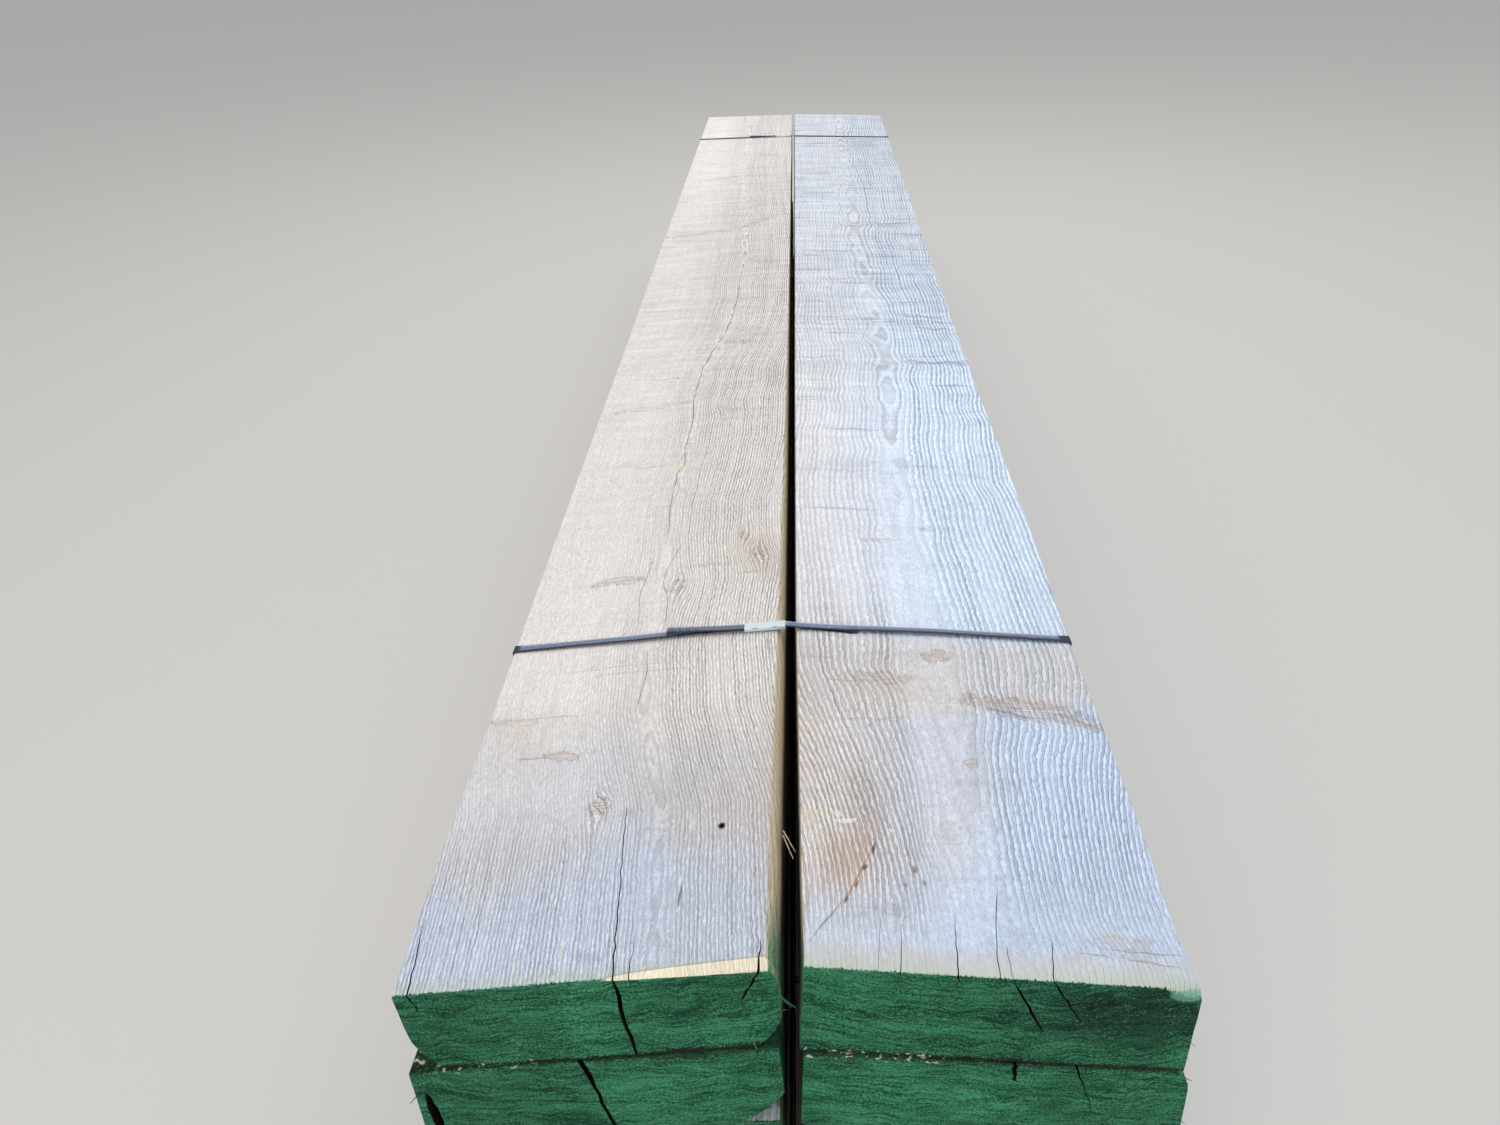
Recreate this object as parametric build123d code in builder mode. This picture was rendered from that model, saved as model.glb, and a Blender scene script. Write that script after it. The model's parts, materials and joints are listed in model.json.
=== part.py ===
"""Stack of rough-cut boards: two columns side by side, held by two steel straps.

The boards lie along Y, with their painted ends at -Y. X runs across the stack and Z is up.
The origin is on the floor, under the middle of the stack. Lengths are in millimetres.
"""

import os
from typing import NamedTuple

from build123d import *

# Boards, as sawn
board_length = 3658.0
board_width = 305.0
board_thickness = 101.0
layer_count = 6
column_gap = 17.0
layer_gap = 0.5

# How far the outer edge of the top layer hangs below its inner edge, at the near and the far end
left_drop_near = 25.0
left_drop_far = -2.0
right_drop_near = 16.0
right_drop_far = 11.0

# Saw and stacking errors of each board, from the top layer down
left_thickness_errors = (-2.0, 1.5, -0.5, 1.0, 1.0, -1.0)
right_thickness_errors = (2.0, -1.5, 0.5, -1.0, -0.5, 0.5)
left_shifts = (0.0, 0.0, 2.5, -1.5, 1.0, -2.0)
right_shifts = (0.0, 1.5, -2.0, 2.0, -1.0, 1.5)
left_bulges = (9.0, 3.0, 4.0, 1.0, 5.0, 2.0)
right_bulges = (2.0, 4.0, 0.0, 3.0, 1.0, 2.0)
left_near_offsets = (0.0, 8.0, -5.0, 4.0, -9.0, 5.0)
right_near_offsets = (0.0, 1.0, -7.0, 9.0, 3.0, -4.0)
left_far_offsets = (0.0, -6.0, 7.0, 2.0, -4.0, 9.0)
right_far_offsets = (0.0, 5.0, -8.0, 6.0, 1.0, -5.0)
left_near_skews = (-10.5, -6.0, 4.0, -7.0, -2.0, 5.0)
right_near_skews = (-8.0, -5.0, -6.0, 3.0, -4.0, -2.0)
left_far_skews = (8.0, 6.0, -4.0, 7.0, 2.0, -5.0)
right_far_skews = (-2.0, 5.0, 6.0, -3.0, 4.0, 2.0)

# Straps and their seals
strap_width = 12.7
strap_thickness = 0.8
strap_clearance = 0.3
near_strap_inset = 465.0
far_strap_inset = 395.0
lap_gap = 0.15
tail_length = 89.0
lap_end_length = 3.0
joggle_length = 12.0
seal_length = 46.0
seal_wall = 0.8
seal_clearance = 0.2
seal_seating = 0.3
seal_lip = 4.2
seal_inset = 2.0
crimp_width = 5.0
crimp_depth = 1.4
crimp_spacing = 22.0

# Cutting allowances
end_allowance = 20.0
cut_margin = 2.0
tip_size = 0.3

# Places worked out from the sizes above
near_end = -board_length / 2
far_end = board_length / 2
near_strap_y = near_end + near_strap_inset
far_strap_y = far_end - far_strap_inset
underside = strap_thickness + strap_clearance


class Column(NamedTuple):
    """One of the two columns of boards, with its boards' errors from the top layer down."""

    name: str
    side: int
    drop_near: float
    drop_far: float
    thickness_errors: tuple
    shifts: tuple
    bulges: tuple
    near_offsets: tuple
    far_offsets: tuple
    near_skews: tuple
    far_skews: tuple


class Check(NamedTuple):
    """A drying split that opens at a board's end, measured outwards from the board's middle."""

    top: float
    foot: float
    depth: float
    mouth: float
    tip: float
    length: float
    foot_share: float = 0.25


class Wane(NamedTuple):
    """Bark edge missing from one arris, widest at the near end."""

    edge: str
    face: str
    across: float
    height: float
    hollow: float
    length: float


class Chip(NamedTuple):
    """Splinter broken off the upper arris of the near end, between two places across the board."""

    outs: tuple
    reaches: tuple
    falls: tuple


class Pocket(NamedTuple):
    """Bark pocket that lies open in the near end, measured outwards and down from the top face."""

    out: float
    below: float
    width: float
    height: float
    turn: float
    depth: float


class NailHole(NamedTuple):
    """A hole left by a pulled nail, measured outwards from the middle and from the near end."""

    out: float
    along: float
    radius: float
    depth: float


left = Column(
    "left",
    -1,
    left_drop_near,
    left_drop_far,
    left_thickness_errors,
    left_shifts,
    left_bulges,
    left_near_offsets,
    left_far_offsets,
    left_near_skews,
    left_far_skews,
)
right = Column(
    "right",
    1,
    right_drop_near,
    right_drop_far,
    right_thickness_errors,
    right_shifts,
    right_bulges,
    right_near_offsets,
    right_far_offsets,
    right_near_skews,
    right_far_skews,
)

# Splits at the near ends, from the top layer down
left_near_checks = (
    (
        Check(top=-21.5, foot=-34.0, depth=106.0, mouth=3.4, tip=-6.7, length=192.0, foot_share=0.8),
        Check(top=145.0, foot=135.0, depth=24.0, mouth=2.4, tip=152.0, length=72.0),
        Check(top=-33.0, foot=-33.0, depth=16.0, mouth=1.2, tip=-34.0, length=46.0),
        Check(top=-138.0, foot=-118.0, depth=36.0, mouth=2.6, tip=-136.0, length=24.0),
    ),
    (Check(top=17.0, foot=-7.0, depth=106.0, mouth=5.0, tip=20.0, length=160.0, foot_share=0.7),),
    (
        Check(top=-48.0, foot=-30.0, depth=58.0, mouth=2.6, tip=-52.0, length=120.0),
        Check(top=74.0, foot=66.0, depth=34.0, mouth=1.8, tip=78.0, length=64.0),
    ),
    (Check(top=6.0, foot=22.0, depth=72.0, mouth=3.4, tip=-4.0, length=170.0),),
    (
        Check(top=92.0, foot=60.0, depth=46.0, mouth=2.2, tip=96.0, length=84.0),
        Check(top=-70.0, foot=-76.0, depth=24.0, mouth=1.4, tip=-66.0, length=48.0),
    ),
    (Check(top=-16.0, foot=-40.0, depth=66.0, mouth=2.8, tip=-8.0, length=140.0),),
)
right_near_checks = (
    (
        Check(top=12.0, foot=47.0, depth=76.0, mouth=1.6, tip=9.5, length=80.0),
        Check(top=42.0, foot=67.0, depth=36.0, mouth=1.6, tip=54.0, length=42.0),
        Check(top=-33.0, foot=-36.0, depth=18.0, mouth=1.4, tip=-27.0, length=66.0),
        Check(top=-79.0, foot=-80.0, depth=14.0, mouth=1.2, tip=-71.0, length=54.0),
    ),
    (
        Check(top=68.0, foot=92.0, depth=72.0, mouth=1.8, tip=62.0, length=110.0),
        Check(top=20.0, foot=22.0, depth=27.0, mouth=3.6, tip=16.0, length=36.0, foot_share=0.8),
    ),
    (Check(top=-60.0, foot=-20.0, depth=68.0, mouth=2.6, tip=-64.0, length=130.0),),
    (
        Check(top=30.0, foot=38.0, depth=52.0, mouth=2.8, tip=24.0, length=96.0),
        Check(top=-86.0, foot=-78.0, depth=30.0, mouth=1.6, tip=-90.0, length=58.0),
    ),
    (Check(top=-8.0, foot=10.0, depth=80.0, mouth=3.2, tip=-2.0, length=180.0),),
    (
        Check(top=52.0, foot=40.0, depth=44.0, mouth=2.0, tip=58.0, length=76.0),
        Check(top=-40.0, foot=-44.0, depth=60.0, mouth=2.4, tip=-34.0, length=110.0),
    ),
)

# Splits at the far ends, from the top layer down
left_far_checks = (
    (Check(top=18.0, foot=2.0, depth=70.0, mouth=2.4, tip=10.0, length=120.0),),
    (Check(top=-30.0, foot=-12.0, depth=50.0, mouth=2.2, tip=-36.0, length=90.0),),
    (Check(top=64.0, foot=48.0, depth=38.0, mouth=1.8, tip=70.0, length=60.0),),
    (Check(top=-4.0, foot=-18.0, depth=84.0, mouth=3.0, tip=4.0, length=150.0),),
    (Check(top=-82.0, foot=-64.0, depth=42.0, mouth=2.0, tip=-88.0, length=70.0),),
    (Check(top=36.0, foot=30.0, depth=62.0, mouth=2.6, tip=40.0, length=112.0),),
)
right_far_checks = (
    (Check(top=-14.0, foot=8.0, depth=58.0, mouth=2.2, tip=-20.0, length=96.0),),
    (Check(top=44.0, foot=26.0, depth=74.0, mouth=2.8, tip=50.0, length=136.0),),
    (Check(top=-58.0, foot=-50.0, depth=36.0, mouth=1.8, tip=-62.0, length=58.0),),
    (Check(top=10.0, foot=-6.0, depth=66.0, mouth=2.4, tip=16.0, length=118.0),),
    (Check(top=78.0, foot=70.0, depth=32.0, mouth=1.6, tip=82.0, length=52.0),),
    (Check(top=-26.0, foot=-38.0, depth=80.0, mouth=3.0, tip=-18.0, length=144.0),),
)
checks = {
    ("left", -1): left_near_checks,
    ("left", 1): left_far_checks,
    ("right", -1): right_near_checks,
    ("right", 1): right_far_checks,
}

wanes = {
    ("left", 0): (
        Wane(edge="outer", face="bottom", across=19.0, height=44.0, hollow=3.0, length=900.0),
        Wane(edge="inner", face="bottom", across=27.0, height=44.0, hollow=6.0, length=420.0),
        Wane(edge="inner", face="top", across=8.0, height=30.0, hollow=1.5, length=115.0),
    ),
    ("left", 1): (Wane(edge="inner", face="bottom", across=44.0, height=40.0, hollow=5.0, length=520.0),),
    ("left", 3): (Wane(edge="outer", face="top", across=22.0, height=18.0, hollow=3.0, length=2300.0),),
    ("right", 1): (Wane(edge="outer", face="top", across=14.0, height=20.0, hollow=2.0, length=1300.0),),
    ("right", 4): (Wane(edge="outer", face="bottom", across=18.0, height=26.0, hollow=3.0, length=1700.0),),
}

chips = {
    ("left", 0): (Chip(outs=(-146.0, -24.0), reaches=(12.5, 2.0), falls=(5.0, 1.2)),),
    ("right", 0): (Chip(outs=(126.0, 158.0), reaches=(1.0, 11.0), falls=(1.0, 12.0)),),
}

pockets = {
    ("left", 1): (Pocket(out=150.0, below=62.0, width=9.0, height=62.0, turn=4.0, depth=45.0),),
}

nail_holes = {
    ("left", 0): (
        NailHole(out=-98.5, along=161.0, radius=2.2, depth=34.0),
        NailHole(out=38.0, along=1231.0, radius=1.8, depth=30.0),
    ),
}


def from_top(layer):
    """Count a layer from the top of the stack, with 0 for the top one."""
    return layer_count - 1 - layer


def error(errors, layer):
    """Pick one layer's error from a list that runs from the top layer down."""
    return errors[from_top(layer) % len(errors)]


def thickness(column, layer):
    """Thickness of a board along its inner edge."""
    return board_thickness + error(column.thickness_errors, layer)


def inner_bottom(column, layer):
    """Height of a board's lower inner arris."""
    return underside + sum(thickness(column, below) + layer_gap for below in range(layer))


def share_at(y):
    """Share of the length at which a place along Y lies."""
    return (y - near_end) / board_length


def slope(column, level, share):
    """Fall per millimetre outwards at a level, at a share of the length."""
    full_drop = column.drop_near + (column.drop_far - column.drop_near) * share
    return full_drop / board_width * level / layer_count


def lean(column, layer, share):
    """Sideways shift of a board's upper arrises, because its edges stand square to its faces."""
    mean_slope = (slope(column, layer, share) + slope(column, layer + 1, share)) / 2
    return thickness(column, layer) / 2 * mean_slope


def width(column, layer, share):
    """Width of a board, a little more in the middle of its length."""
    return board_width + error(column.bulges, layer) * (1 - abs(2 * share - 1))


def inner_edge(column, layer):
    """Distance of a board's inner edge from the middle of the stack, at half its thickness."""
    return column_gap / 2 + error(column.shifts, layer)


def middle(column, layer):
    """Distance of a board's centre line from the middle of the stack."""
    return inner_edge(column, layer) + board_width / 2


def surface(column, layer, x, y):
    """Heights of a board's underside and top at one place."""
    out = abs(x) - column_gap / 2
    low = inner_bottom(column, layer)
    high = low + thickness(column, layer)
    bottom_slope = slope(column, layer, share_at(y))
    top_slope = slope(column, layer + 1, share_at(y))
    return low - bottom_slope * out, high - top_slope * out


def section(column, layer, y):
    """Corners of a board's section as (x, z): inner bottom, outer bottom, outer top, inner top."""
    inner = inner_edge(column, layer)
    outer = inner + width(column, layer, share_at(y))
    shift = lean(column, layer, share_at(y))
    corners = []
    for out, face in ((inner - shift, 0), (outer - shift, 0), (outer + shift, 1), (inner + shift, 1)):
        x = column.side * out
        corners.append((x, surface(column, layer, x, y)[face]))
    return corners


def end_y(column, layer, end, x):
    """Place along Y of a sawn end at a place across: +1 is the far end and -1 the near one."""
    offsets = column.far_offsets if end > 0 else column.near_offsets
    skews = column.far_skews if end > 0 else column.near_skews
    out = column.side * x - middle(column, layer)
    return end * (board_length / 2 + error(offsets, layer)) + error(skews, layer) / board_width * out


def end_plane(column, layer, end):
    """Plane of a sawn end, a little off square, that faces away from the board."""
    x = column.side * middle(column, layer)
    y = end_y(column, layer, end, x)
    return Plane(origin=(x, y, 0), z_dir=(-end * (end_y(column, layer, end, x + 1) - y), end, 0))


def cross_plane(y):
    """Plane across the boards at a place along Y, with local x along X and local y up."""
    return Plane.XZ.offset(-y)


def wane_outline(column, layer, wane, y, size):
    """Corner, start and end of the part that a wane removes at one place, scaled by size."""
    corners = section(column, layer, y)
    index = {"inner": {"bottom": 0, "top": 3}, "outer": {"bottom": 1, "top": 2}}[wane.edge][wane.face]
    x, z = corners[index]
    outwards = column.side if wane.edge == "outer" else -column.side
    upwards = 1 if wane.face == "top" else -1
    corner = (x + outwards * cut_margin, z + upwards * cut_margin)
    on_face = (x - outwards * wane.across * size, z + upwards * cut_margin)
    on_edge = (x + outwards * cut_margin, z - upwards * wane.height * size)
    return corner, on_face, on_edge


def make_board(column, layer):
    """Saw one board: a slightly twisted plank with skewed ends, splits, wane and nail holes."""
    board_sides = (near_end - end_allowance, 0, far_end + end_allowance)
    with BuildPart() as board:
        for y in board_sides:
            with BuildSketch(cross_plane(y)):
                with BuildLine():
                    Polyline(*section(column, layer, y), close=True)
                make_face()
        loft(ruled=True)
        split(bisect_by=end_plane(column, layer, -1), keep=Keep.BOTTOM)
        split(bisect_by=end_plane(column, layer, 1), keep=Keep.BOTTOM)

        centre = column.side * middle(column, layer)
        for end in (-1, 1):
            mouth_y = end * (board_length / 2 + end_allowance)
            for check in checks[column.name, end][from_top(layer)]:
                tip_y = end * (board_length / 2 - check.length)
                top_x = centre + column.side * check.top
                tip_x = centre + column.side * check.tip
                foot_x = centre + column.side * check.foot
                mouth_z = surface(column, layer, top_x, end * board_length / 2)[1]
                tip_z = surface(column, layer, tip_x, tip_y)[1]
                half = check.mouth / 2
                with BuildSketch(cross_plane(mouth_y)):
                    with BuildLine():
                        Polyline(
                            (top_x - half, mouth_z + cut_margin),
                            (top_x + half, mouth_z + cut_margin),
                            (foot_x + half * check.foot_share, mouth_z - check.depth),
                            (foot_x - half * check.foot_share, mouth_z - check.depth),
                            close=True,
                        )
                    make_face()
                with BuildSketch(cross_plane(tip_y)):
                    with BuildLine():
                        Polyline(
                            (tip_x - tip_size / 2, tip_z + cut_margin),
                            (tip_x + tip_size / 2, tip_z + cut_margin),
                            (tip_x + tip_size / 4, tip_z - cut_margin),
                            (tip_x - tip_size / 4, tip_z - cut_margin),
                            close=True,
                        )
                    make_face()
                loft(ruled=True, mode=Mode.SUBTRACT)

        for wane in wanes.get((column.name, from_top(layer)), ()):
            for y, size in ((near_end - end_allowance, 1.0), (near_end + wane.length, tip_size / wane.across)):
                corner, on_face, on_edge = wane_outline(column, layer, wane, y, size)
                with BuildSketch(cross_plane(y)):
                    with BuildLine():
                        Polyline(on_edge, corner, on_face)
                        chord = Line(on_face, on_edge, mode=Mode.PRIVATE)
                        bulge = Vector(corner[0], corner[1]) - chord @ 0.5
                        crown = chord @ 0.5 + bulge.normalized() * wane.hollow * size
                        ThreePointArc(on_face, crown, on_edge)
                    make_face()
            loft(ruled=True, mode=Mode.SUBTRACT)

        for chip in chips.get((column.name, from_top(layer)), ()):
            for out, reach, fall in zip(chip.outs, chip.reaches, chip.falls):
                x = centre + column.side * out
                y = end_y(column, layer, -1, x)
                z = surface(column, layer, x, y)[1]
                with BuildSketch(Plane(origin=(x, y, z), x_dir=(0, 1, 0), z_dir=(1, 0, 0))):
                    with BuildLine():
                        Polyline(
                            (-cut_margin, cut_margin),
                            (-cut_margin, -fall - cut_margin * fall / reach),
                            (reach + cut_margin * reach / fall, cut_margin),
                            close=True,
                        )
                    make_face()
            loft(ruled=True, mode=Mode.SUBTRACT)

        for pocket in pockets.get((column.name, from_top(layer)), ()):
            x = centre + column.side * pocket.out
            z = surface(column, layer, x, near_end)[1] - pocket.below
            for y, size in ((near_end - end_allowance, 1.0), (near_end + pocket.depth, 0.3)):
                with BuildSketch(cross_plane(y)):
                    with Locations((x, z)):
                        Ellipse(pocket.width / 2 * size, pocket.height / 2 * size, rotation=pocket.turn)
            loft(ruled=True, mode=Mode.SUBTRACT)

        for hole in nail_holes.get((column.name, from_top(layer)), ()):
            x = centre + column.side * hole.out
            y = near_end + hole.along
            with Locations((x, y, surface(column, layer, x, y)[1] + cut_margin)):
                Hole(radius=hole.radius, depth=hole.depth + cut_margin)
    board.part.label = f"board_{column.name}_{layer + 1}"
    return board.part


def cross(a, b, c):
    """Twice the area of a triangle, positive where a, b, c turn to the left."""
    return (b[0] - a[0]) * (c[1] - a[1]) - (b[1] - a[1]) * (c[0] - a[0])


def stretched_round(points):
    """Outline that a tight band takes round a set of points, turning to the left."""
    ordered = sorted(set(points))
    halves = []
    for run in (ordered, ordered[::-1]):
        half = []
        for point in run:
            while len(half) > 1 and cross(half[-2], half[-1], point) <= 0:
                half.pop()
            half.append(point)
        halves += half[:-1]
    return halves


def seal_seat(y):
    """Ends of the seal's place on the top left board, from its outer to its inner end."""
    layer = layer_count - 1
    inner = column_gap / 2 - lean(left, layer, share_at(y)) + error(left.shifts, layer) + seal_inset
    ends = []
    for x in (-inner - seal_length, -inner):
        ends.append((x, surface(left, layer, x, y)[1] + seal_seating))
    return ends


def seal_lift():
    """Height of the strap's underside over the board, inside the seal."""
    return seal_wall + seal_clearance


def strap_core(y):
    """Outline of what a strap is pulled round at a place along Y."""
    points = []
    for column in (left, right):
        for layer in range(layer_count):
            points += section(column, layer, y)
    points += [(x, z + seal_lift()) for x, z in seal_seat(y)]
    return stretched_round(points)


def height_over(outline, x):
    """Height of the top of a closed outline at a place along X."""
    heights = []
    for start, end in zip(outline, outline[1:] + outline[:1]):
        low, high = sorted((start, end))
        if low[0] < high[0] and low[0] <= x <= high[0]:
            heights.append(low[1] + (high[1] - low[1]) * (x - low[0]) / (high[0] - low[0]))
    return max(heights)


def make_strap(name, y):
    """Bend one strap round the stack, with its ends lapped inside the seal and a loose tail."""
    outline = strap_core(y)
    seat = seal_seat(y)
    tail_end = seat[0][0] - tail_length
    lower_end = seat[1][0] + lap_end_length
    joggle_start = lower_end + lap_gap
    joggle_end = joggle_start + joggle_length
    outside = strap_clearance + strap_thickness
    lap_inside = outside + lap_gap
    lap_outside = lap_inside + strap_thickness
    height = height_over(outline, joggle_start)
    joggle_height = height_over(outline, joggle_end)
    reach = 4 * strap_thickness
    with BuildSketch() as core:
        with BuildLine():
            Polyline(*outline, close=True)
        make_face()
    with BuildSketch() as lap:
        offset(core.sketch, amount=lap_outside, mode=Mode.ADD)
        offset(core.sketch, amount=lap_inside, mode=Mode.SUBTRACT)
        with Locations(((tail_end + joggle_start) / 2, height)):
            Rectangle(joggle_start - tail_end, 2 * board_thickness, mode=Mode.INTERSECT)
    with BuildPart() as strap:
        with BuildSketch(cross_plane(y)):
            offset(core.sketch, amount=outside, mode=Mode.ADD)
            offset(core.sketch, amount=strap_clearance, mode=Mode.SUBTRACT)
            with Locations(((lower_end + joggle_end) / 2, height)):
                Rectangle(joggle_end - lower_end, 2 * reach, mode=Mode.SUBTRACT)
            add(lap.sketch)
            with BuildLine():
                Polyline(
                    (joggle_start - lap_gap, height + lap_inside),
                    (joggle_start - lap_gap, height + lap_outside),
                    (joggle_end + lap_gap, joggle_height + outside),
                    (joggle_end + lap_gap, joggle_height + strap_clearance),
                    close=True,
                )
            make_face()
        extrude(amount=strap_width / 2, both=True)
    strap.part.label = name
    return strap.part


def make_seal(name, y):
    """Fold one seal round the two layers of its strap and crimp it."""
    seat = seal_seat(y)
    start = Vector(seat[0][0], y, seat[0][1])
    along = Vector(seat[1][0], y, seat[1][1]) - start
    base = Plane(origin=start, x_dir=(0, 1, 0), z_dir=along)
    inside_width = strap_width + 2 * seal_clearance
    inside_height = 2 * strap_thickness + lap_gap + 2 * seal_clearance + strap_clearance
    outside_width = inside_width + 2 * seal_wall
    outside_height = inside_height + 2 * seal_wall
    upwards = 1 if base.y_dir.Z > 0 else -1
    with BuildPart() as seal:
        with BuildSketch(base):
            with Locations((0, upwards * outside_height / 2)):
                Rectangle(outside_width, outside_height)
                Rectangle(inside_width, inside_height, mode=Mode.SUBTRACT)
            with Locations((0, upwards * seal_wall / 2)):
                Rectangle(inside_width - 2 * seal_lip, 2 * seal_wall, mode=Mode.SUBTRACT)
        extrude(amount=along.length)
        fillet(seal.edges().filter_by(Axis((0, 0, 0), along)).sort_by(Axis.Z)[-2:], radius=seal_wall * 0.6)
        for place in (-crimp_spacing / 2, crimp_spacing / 2):
            crimp_plane = base.offset(along.length / 2 + place - crimp_width / 2)
            with BuildSketch(crimp_plane):
                for side in (-1, 1):
                    with Locations((side * outside_width / 2, upwards * outside_height)):
                        Rectangle(2 * seal_wall, 2 * crimp_depth, mode=Mode.ADD)
            extrude(amount=crimp_width, mode=Mode.SUBTRACT)
    seal.part.label = name
    return seal.part


def stack_centre(pieces):
    """Middle of the footprint of all pieces."""
    boxes = [piece.bounding_box() for piece in pieces]
    x = (min(box.min.X for box in boxes) + max(box.max.X for box in boxes)) / 2
    y = (min(box.min.Y for box in boxes) + max(box.max.Y for box in boxes)) / 2
    return Vector(x, y, 0)


os.makedirs("parts", exist_ok=True)
pieces = [make_board(column, layer) for column in (left, right) for layer in range(layer_count)]
for place, y in (("near", near_strap_y), ("far", far_strap_y)):
    pieces.append(make_strap(f"strap_{place}", y))
    pieces.append(make_seal(f"strap_seal_{place}", y))
to_origin = Pos(*-stack_centre(pieces))
for piece in pieces:
    export_step(to_origin * piece, f"parts/{piece.label}.step")
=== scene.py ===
"""Looks of a stack of rough-cut boards: two columns side by side, held by two steel straps.

The boards lie along Y with their painted ends at -Y, X runs across the stack and Z is up.
Lengths are in metres. Each piece takes the place of its solid: it is built from the same sizes,
and its edges, ends and splits are set closer to the real stack's than a solid needs.
"""

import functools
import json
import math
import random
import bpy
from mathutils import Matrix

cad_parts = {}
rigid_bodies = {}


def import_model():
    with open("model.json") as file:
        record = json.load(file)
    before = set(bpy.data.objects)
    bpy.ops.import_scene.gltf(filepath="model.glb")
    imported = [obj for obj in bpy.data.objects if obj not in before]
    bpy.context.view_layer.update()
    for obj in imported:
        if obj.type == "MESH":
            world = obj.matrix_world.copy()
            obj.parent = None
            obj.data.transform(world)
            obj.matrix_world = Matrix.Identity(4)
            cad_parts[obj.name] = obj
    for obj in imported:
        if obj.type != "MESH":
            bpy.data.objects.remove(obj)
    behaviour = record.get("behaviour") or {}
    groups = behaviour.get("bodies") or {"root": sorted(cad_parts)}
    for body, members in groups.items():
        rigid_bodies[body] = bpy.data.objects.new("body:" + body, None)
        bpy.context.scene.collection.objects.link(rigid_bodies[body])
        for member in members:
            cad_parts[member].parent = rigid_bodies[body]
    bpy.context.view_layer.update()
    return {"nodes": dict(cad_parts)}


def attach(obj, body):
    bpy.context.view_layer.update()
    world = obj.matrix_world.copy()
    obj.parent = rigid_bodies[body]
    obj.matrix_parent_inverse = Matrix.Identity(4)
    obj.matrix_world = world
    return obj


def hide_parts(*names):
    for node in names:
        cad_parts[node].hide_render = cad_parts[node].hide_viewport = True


bl_info = {
    "name": "Stack of rough-cut boards",
    "version": (1, 0, 0),
    "blender": (4, 5, 0),
    "location": "3D View > Sidebar > Boards",
    "description": "Weathered boards with painted ends, steel straps and a plain stage",
    "category": "Object",
}

from types import SimpleNamespace
from typing import NamedTuple

import bmesh
import bpy
import numpy as np
from mathutils import Matrix, Vector, noise

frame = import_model()

MM = 0.001
PHOTO_WIDTH = 1500

# Boards as sawn, from the same sizes as their solids
BOARD_LENGTH = 3658 * MM
BOARD_WIDTH = 305 * MM
BOARD_THICKNESS = 101 * MM
LAYERS = 6
TOP = LAYERS - 1
COLUMN_GAP = 17 * MM
LAYER_GAP = 0.5 * MM
UNDERSIDE = 1.1 * MM
END_ALLOWANCE = 20 * MM
STACK_SHIFT = (1.7797 * MM, -0.2193 * MM)
NEAR_END = -BOARD_LENGTH / 2
KNOT_SPACING = 520 * MM
MARK_DEPTH = 30 * MM


class Column(NamedTuple):
    """One of the two columns of boards, with its boards' errors in mm from the top layer down.

    The fall of its top layer from inner to outer edge is drop_near and drop_far, in mm.
    """

    name: str
    side: int
    drop_near: float
    drop_far: float
    thickness_errors: tuple
    shifts: tuple
    bulges: tuple
    near_offsets: tuple
    far_offsets: tuple
    near_skews: tuple
    far_skews: tuple


class Check(NamedTuple):
    """A drying split at a board's end, in mm, measured outwards from the board's middle."""

    top: float
    foot: float
    depth: float
    mouth: float
    tip: float
    length: float
    foot_share: float = 0.25
    top_share: float = 0.3


class Crack(NamedTuple):
    """A drying crack in the top face: points (x, y), width in the middle and depth, in mm."""

    points: tuple
    width: float
    depth: float


class Wane(NamedTuple):
    """Bark edge missing from one arris, widest at the near end, in mm."""

    edge: str
    face: str
    across: float
    height: float
    hollow: float
    length: float


class Chip(NamedTuple):
    """Splinter broken off the upper arris of the near end, in mm, between two places across."""

    outs: tuple
    reaches: tuple
    falls: tuple


class Pocket(NamedTuple):
    """Bark pocket open in the near end, in mm, measured outwards and down from the top."""

    out: float
    below: float
    width: float
    height: float
    turn: float
    depth: float


class Mark(NamedTuple):
    """A stain, a scar or a band of painted shade on a top face: place and half sizes in mm, turn in
    degrees, colour's name.
    """

    x: float
    y: float
    across: float
    along: float
    turn: float
    colour: str
    strength: float
    softness: float = 0.6


class Blot(NamedTuple):
    """A darker or lighter part of a painted end: place and half sizes in mm, and tone."""

    x: float
    z: float
    across: float
    height: float
    tone: float


class Knot(NamedTuple):
    """A branch cut through by the saw: place and half sizes in mm, turn in degrees."""

    x: float
    y: float
    across: float
    along: float
    turn: float
    strength: float


class Lie(NamedTuple):
    """How a strap lies at places across, in mm: shifts along Y in mm and rolls in degrees."""

    places: tuple
    shifts: tuple
    rolls: tuple


LEFT = Column(
    name="left",
    side=-1,
    drop_near=25,
    drop_far=-2,
    thickness_errors=(-2, 1.5, -0.5, 1, 1, -1),
    shifts=(0, 0, 2.5, -1.5, 1, -2),
    bulges=(9, 3, 4, 1, 5, 2),
    near_offsets=(0, 1.5, -5, 4, -9, 5),
    far_offsets=(0, -6, 7, 2, -4, 9),
    near_skews=(-10.5, -12, 4, -7, -2, 5),
    far_skews=(8, 6, -4, 7, 2, -5),
)
RIGHT = Column(
    name="right",
    side=1,
    drop_near=16,
    drop_far=11,
    thickness_errors=(2, -1.5, 0.5, -1, -0.5, 0.5),
    shifts=(0, 1.5, -2, 2, -1, 1.5),
    bulges=(2, 4, 0, 3, 1, 2),
    near_offsets=(0, 1, -7, 9, 3, -4),
    far_offsets=(0, 5, -8, 6, 1, -5),
    near_skews=(-8, -5, -6, 3, -4, -2),
    far_skews=(-2, 5, 6, -3, 4, 2),
)

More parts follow.
